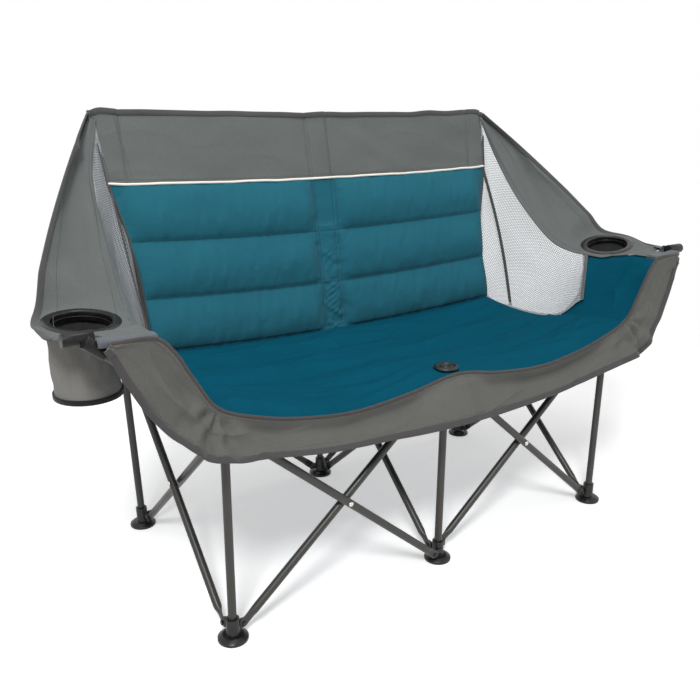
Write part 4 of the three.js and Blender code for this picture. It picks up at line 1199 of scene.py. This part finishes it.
def pouch(side, mirror):
    """A hanging cup pouch: its rim follows the tipped ring, its floor hangs level."""
    centre = cup_centre(side, mirror)
    count, rows = 120, 44
    angle, level = np.meshgrid(round_turn(count), np.linspace(0, 1, rows))
    calm = arch(level) * np.sin(angle / 2) ** 0.5
    ripple = 4.6 * rumple(angle * 1.9, level * 2.4, 91 + mirror) + 2.4 * rumple(angle * 5, level * 4, 93)
    ripple += 1.6 * np.sin(6 * angle + 2.6 * level)
    ripple += 1.8 * crease(angle * 1.6 + level, level * 2 - angle * 0.4, 94)
    radius = POUCH_R + 1.8 * level + calm * ripple - 3.4 * arch(level)
    dx, dy = radius * np.cos(angle), radius * np.sin(angle)
    top = -3.4 + cup_slope(side, mirror * dx, dy)
    floor_z = -POUCH_DEEP
    outer = np.stack([centre[0] + dx, centre[1] + dy, centre[2] + floor_z + (top - floor_z) * level], -1)
    shrink = (1 - POUCH_CLOTH / radius)[..., None]
    inner = np.concatenate([centre[:2] + (outer[..., :2] - centre[:2]) * shrink, outer[..., 2:]], -1)
    inner[0, :, 2] += POUCH_CLOTH
    index = rows_of(rows, count)
    total = index.size
    quads = between(index)
    last, (ring, after) = index[-1], (index[0], np.roll(index[0], -1))
    lip = np.stack([last, np.roll(last, -1), np.roll(last, -1) + total, last + total], -1)
    below = np.stack([np.full(count, 2 * total), after, ring], -1)
    above = np.stack([np.full(count, 2 * total + 1), ring + total, after + total], -1)
    faces = [face for part in (quads, quads[:, ::-1] + total, lip, below, above) for face in part.tolist()]
    ends = centre + ((0, 0, floor_z - 2.0), (0, 0, floor_z))
    points = np.vstack([outer.reshape(-1, 3), inner.reshape(-1, 3), ends])
    uv = np.stack([angle * 0.056, level * 0.124], -1).reshape(-1, 2)
    uv = np.vstack([uv, uv, np.zeros((2, 2))])
    bag = build(f"cup_pouch_{side}_cloth", points, faces, POUCH_GREY, uv)
    bag.data.materials.append(SHADED_POUCH)
    # The inside faces and the top of the floor take the painted-shade cloth.
    inside = np.zeros(len(faces), int)
    inside[len(quads):2 * len(quads)] = 1
    inside[-count:] = 1
    bag.data.polygons.foreach_set("material_index", inside)
    settle(bag, f"front_{side}", "grey_fabric", f"cup_pouch_{side}")
    hoop = outer[0] + (outer[0] - centre - (0, 0, floor_z)) * 0.012 + (0, 0, -0.6)
    guide = np.tile([0, 0, 1.0], (count, 1))
    hem = sweep(f"pouch_hem_{side}", hoop, tape_section(8.0, 3.0), BLACK_TAPE, guide=guide, closed=True)
    settle(hem, f"front_{side}", "grey_fabric")
    seams = []
    for k in (int(count * 0.2), int(count * 0.35)):
        outward = (outer[2:-1, k] - centre) * (1, 1, 0)
        seams.append((outer[2:-1, k] + outward * 0.01, outward))
    thread = settle(stitches(f"pouch_stitching_{side}", seams, THREAD), f"front_{side}", "grey_fabric")


RING_PROFILE = [(49.0, -15.0), (49.8, -16.0), (51.4, -16.0), (52.0, -15.0), (52.0, -3.0), (65.0, -3.0),
                (66.0, -2.2), (66.0, -0.6), (64.8, 1.0), (61.5, 2.4), (58.0, 3.0), (53.0, 3.0), (51.0, 2.5),
                (49.6, 1.2), (49.0, -0.8), (49.0, -7.0), (48.4, -7.6), (48.4, -8.6), (49.0, -9.2),
                (49.0, -15.0)]
for side, mirror in SIDES.items():
    edge = wing_of(side, mirror)
    mesh_of(side, mirror, edge)
    lining_of(side, mirror, edge)
    pouch(side, mirror)
    centre, normal = cup_centre(side, mirror), cup_normal(side, mirror)
    rim = turned(f"cup_ring_{side}_moulded", RING_PROFILE, centre, RING_PLASTIC, 96, normal)
    crisp(rim, 0.5)
    settle(rim, f"front_{side}", "black_plastic", f"cup_ring_{side}")

# Camera, light and floor
scene.view_settings.view_transform = "Standard"
camera = bpy.data.cameras.new("camera")
IMAGE, FOCAL, SENSOR = 700, 771.3, 36.0
EYE = (-981.6, -1364.4, 944.0)
camera.sensor_width = SENSOR
camera.lens = FOCAL / IMAGE * SENSOR
viewer = add_object("camera", camera)
yaw, pitch, roll = (math.radians(a) for a in (33.74, 17.58, -0.41))
viewer.matrix_world = (
    Matrix.Translation(Vector(metres(EYE)))
    @ Matrix.Rotation(-yaw, 4, "Z")
    @ Matrix.Rotation(math.pi / 2 - pitch, 4, "X")
    @ Matrix.Rotation(-roll, 4, "Z")
)
scene.camera = viewer


LAMP_AIM = (0, 0, 0.5)


def lamp(name, place, size, power):
    data = bpy.data.lights.new(name, "AREA")
    data.shape = "DISK"
    data.size = size
    data.energy = power
    obj = add_object(name, data)
    obj.location = place
    obj.rotation_euler = (Vector(LAMP_AIM) - Vector(place)).to_track_quat("-Z", "Y").to_euler()


lamp("key", (-2.2, -2.6, 3.5), 0.9, 145)
lamp("fill", (2.8, -3.0, 1.8), 3.0, 26)
lamp("top", (-0.2, -0.3, 3.6), 1.8, 40)

world = bpy.data.worlds.new("studio")
world.use_nodes = True
scene.world = world
sky = Nodes(world.node_tree)
sky.tree.nodes.clear()
AMBIENT, FLOOR_GLOW, FADE_FROM, FADE_TO = 0.26, 0.42, 0.9, 2.2
ambient, white = (sky.glow("ShaderNodeBackground", strength) for strength in (AMBIENT, 1.0))
shown = sky.add("ShaderNodeMixShader", None, Fac=sky.seen_straight(), i1=ambient, i2=white).outputs[0]
sky.add("ShaderNodeOutputWorld", None, Surface=shown)

paper = Shader("floor_paper", (0.9, 0.9, 0.9, 1.0), 0.9)
spot = paper.add("ShaderNodeTexCoord").outputs["Object"]
far = paper.add("ShaderNodeVectorMath", {"operation": "LENGTH"}, i0=spot).outputs["Value"]
fade = paper.add("ShaderNodeMapRange", {"interpolation_type": "SMOOTHSTEP"}, Value=far)
fade.inputs["From Min"].default_value = FADE_FROM
fade.inputs["From Max"].default_value = FADE_TO
glow, blank = (paper.glow("ShaderNodeEmission", strength) for strength in (FLOOR_GLOW, 1.0))
dull = paper.bsdf.outputs[0]
lit = paper.add("ShaderNodeAddShader", None, i0=dull, i1=glow).outputs[0]
shown = paper.add("ShaderNodeMixShader", None, Fac=fade.outputs[0], i1=lit, i2=blank).outputs[0]
pick = paper.add("ShaderNodeMixShader", None, Fac=paper.seen_straight(), i1=dull, i2=shown).outputs[0]
paper.tree.links.new(pick, paper.tree.nodes["Material Output"].inputs["Surface"])
plane = bpy.data.meshes.new("floor")
FLOOR_HALF, FLOOR_Z = 12, -0.0005
corners = [(FLOOR_HALF * a, FLOOR_HALF * b, FLOOR_Z) for a, b in ((-1, -1), (1, -1), (1, 1), (-1, 1))]
plane.from_pydata(corners, [], [(0, 1, 2, 3)])
plane.materials.append(paper.material)
add_object("floor", plane)
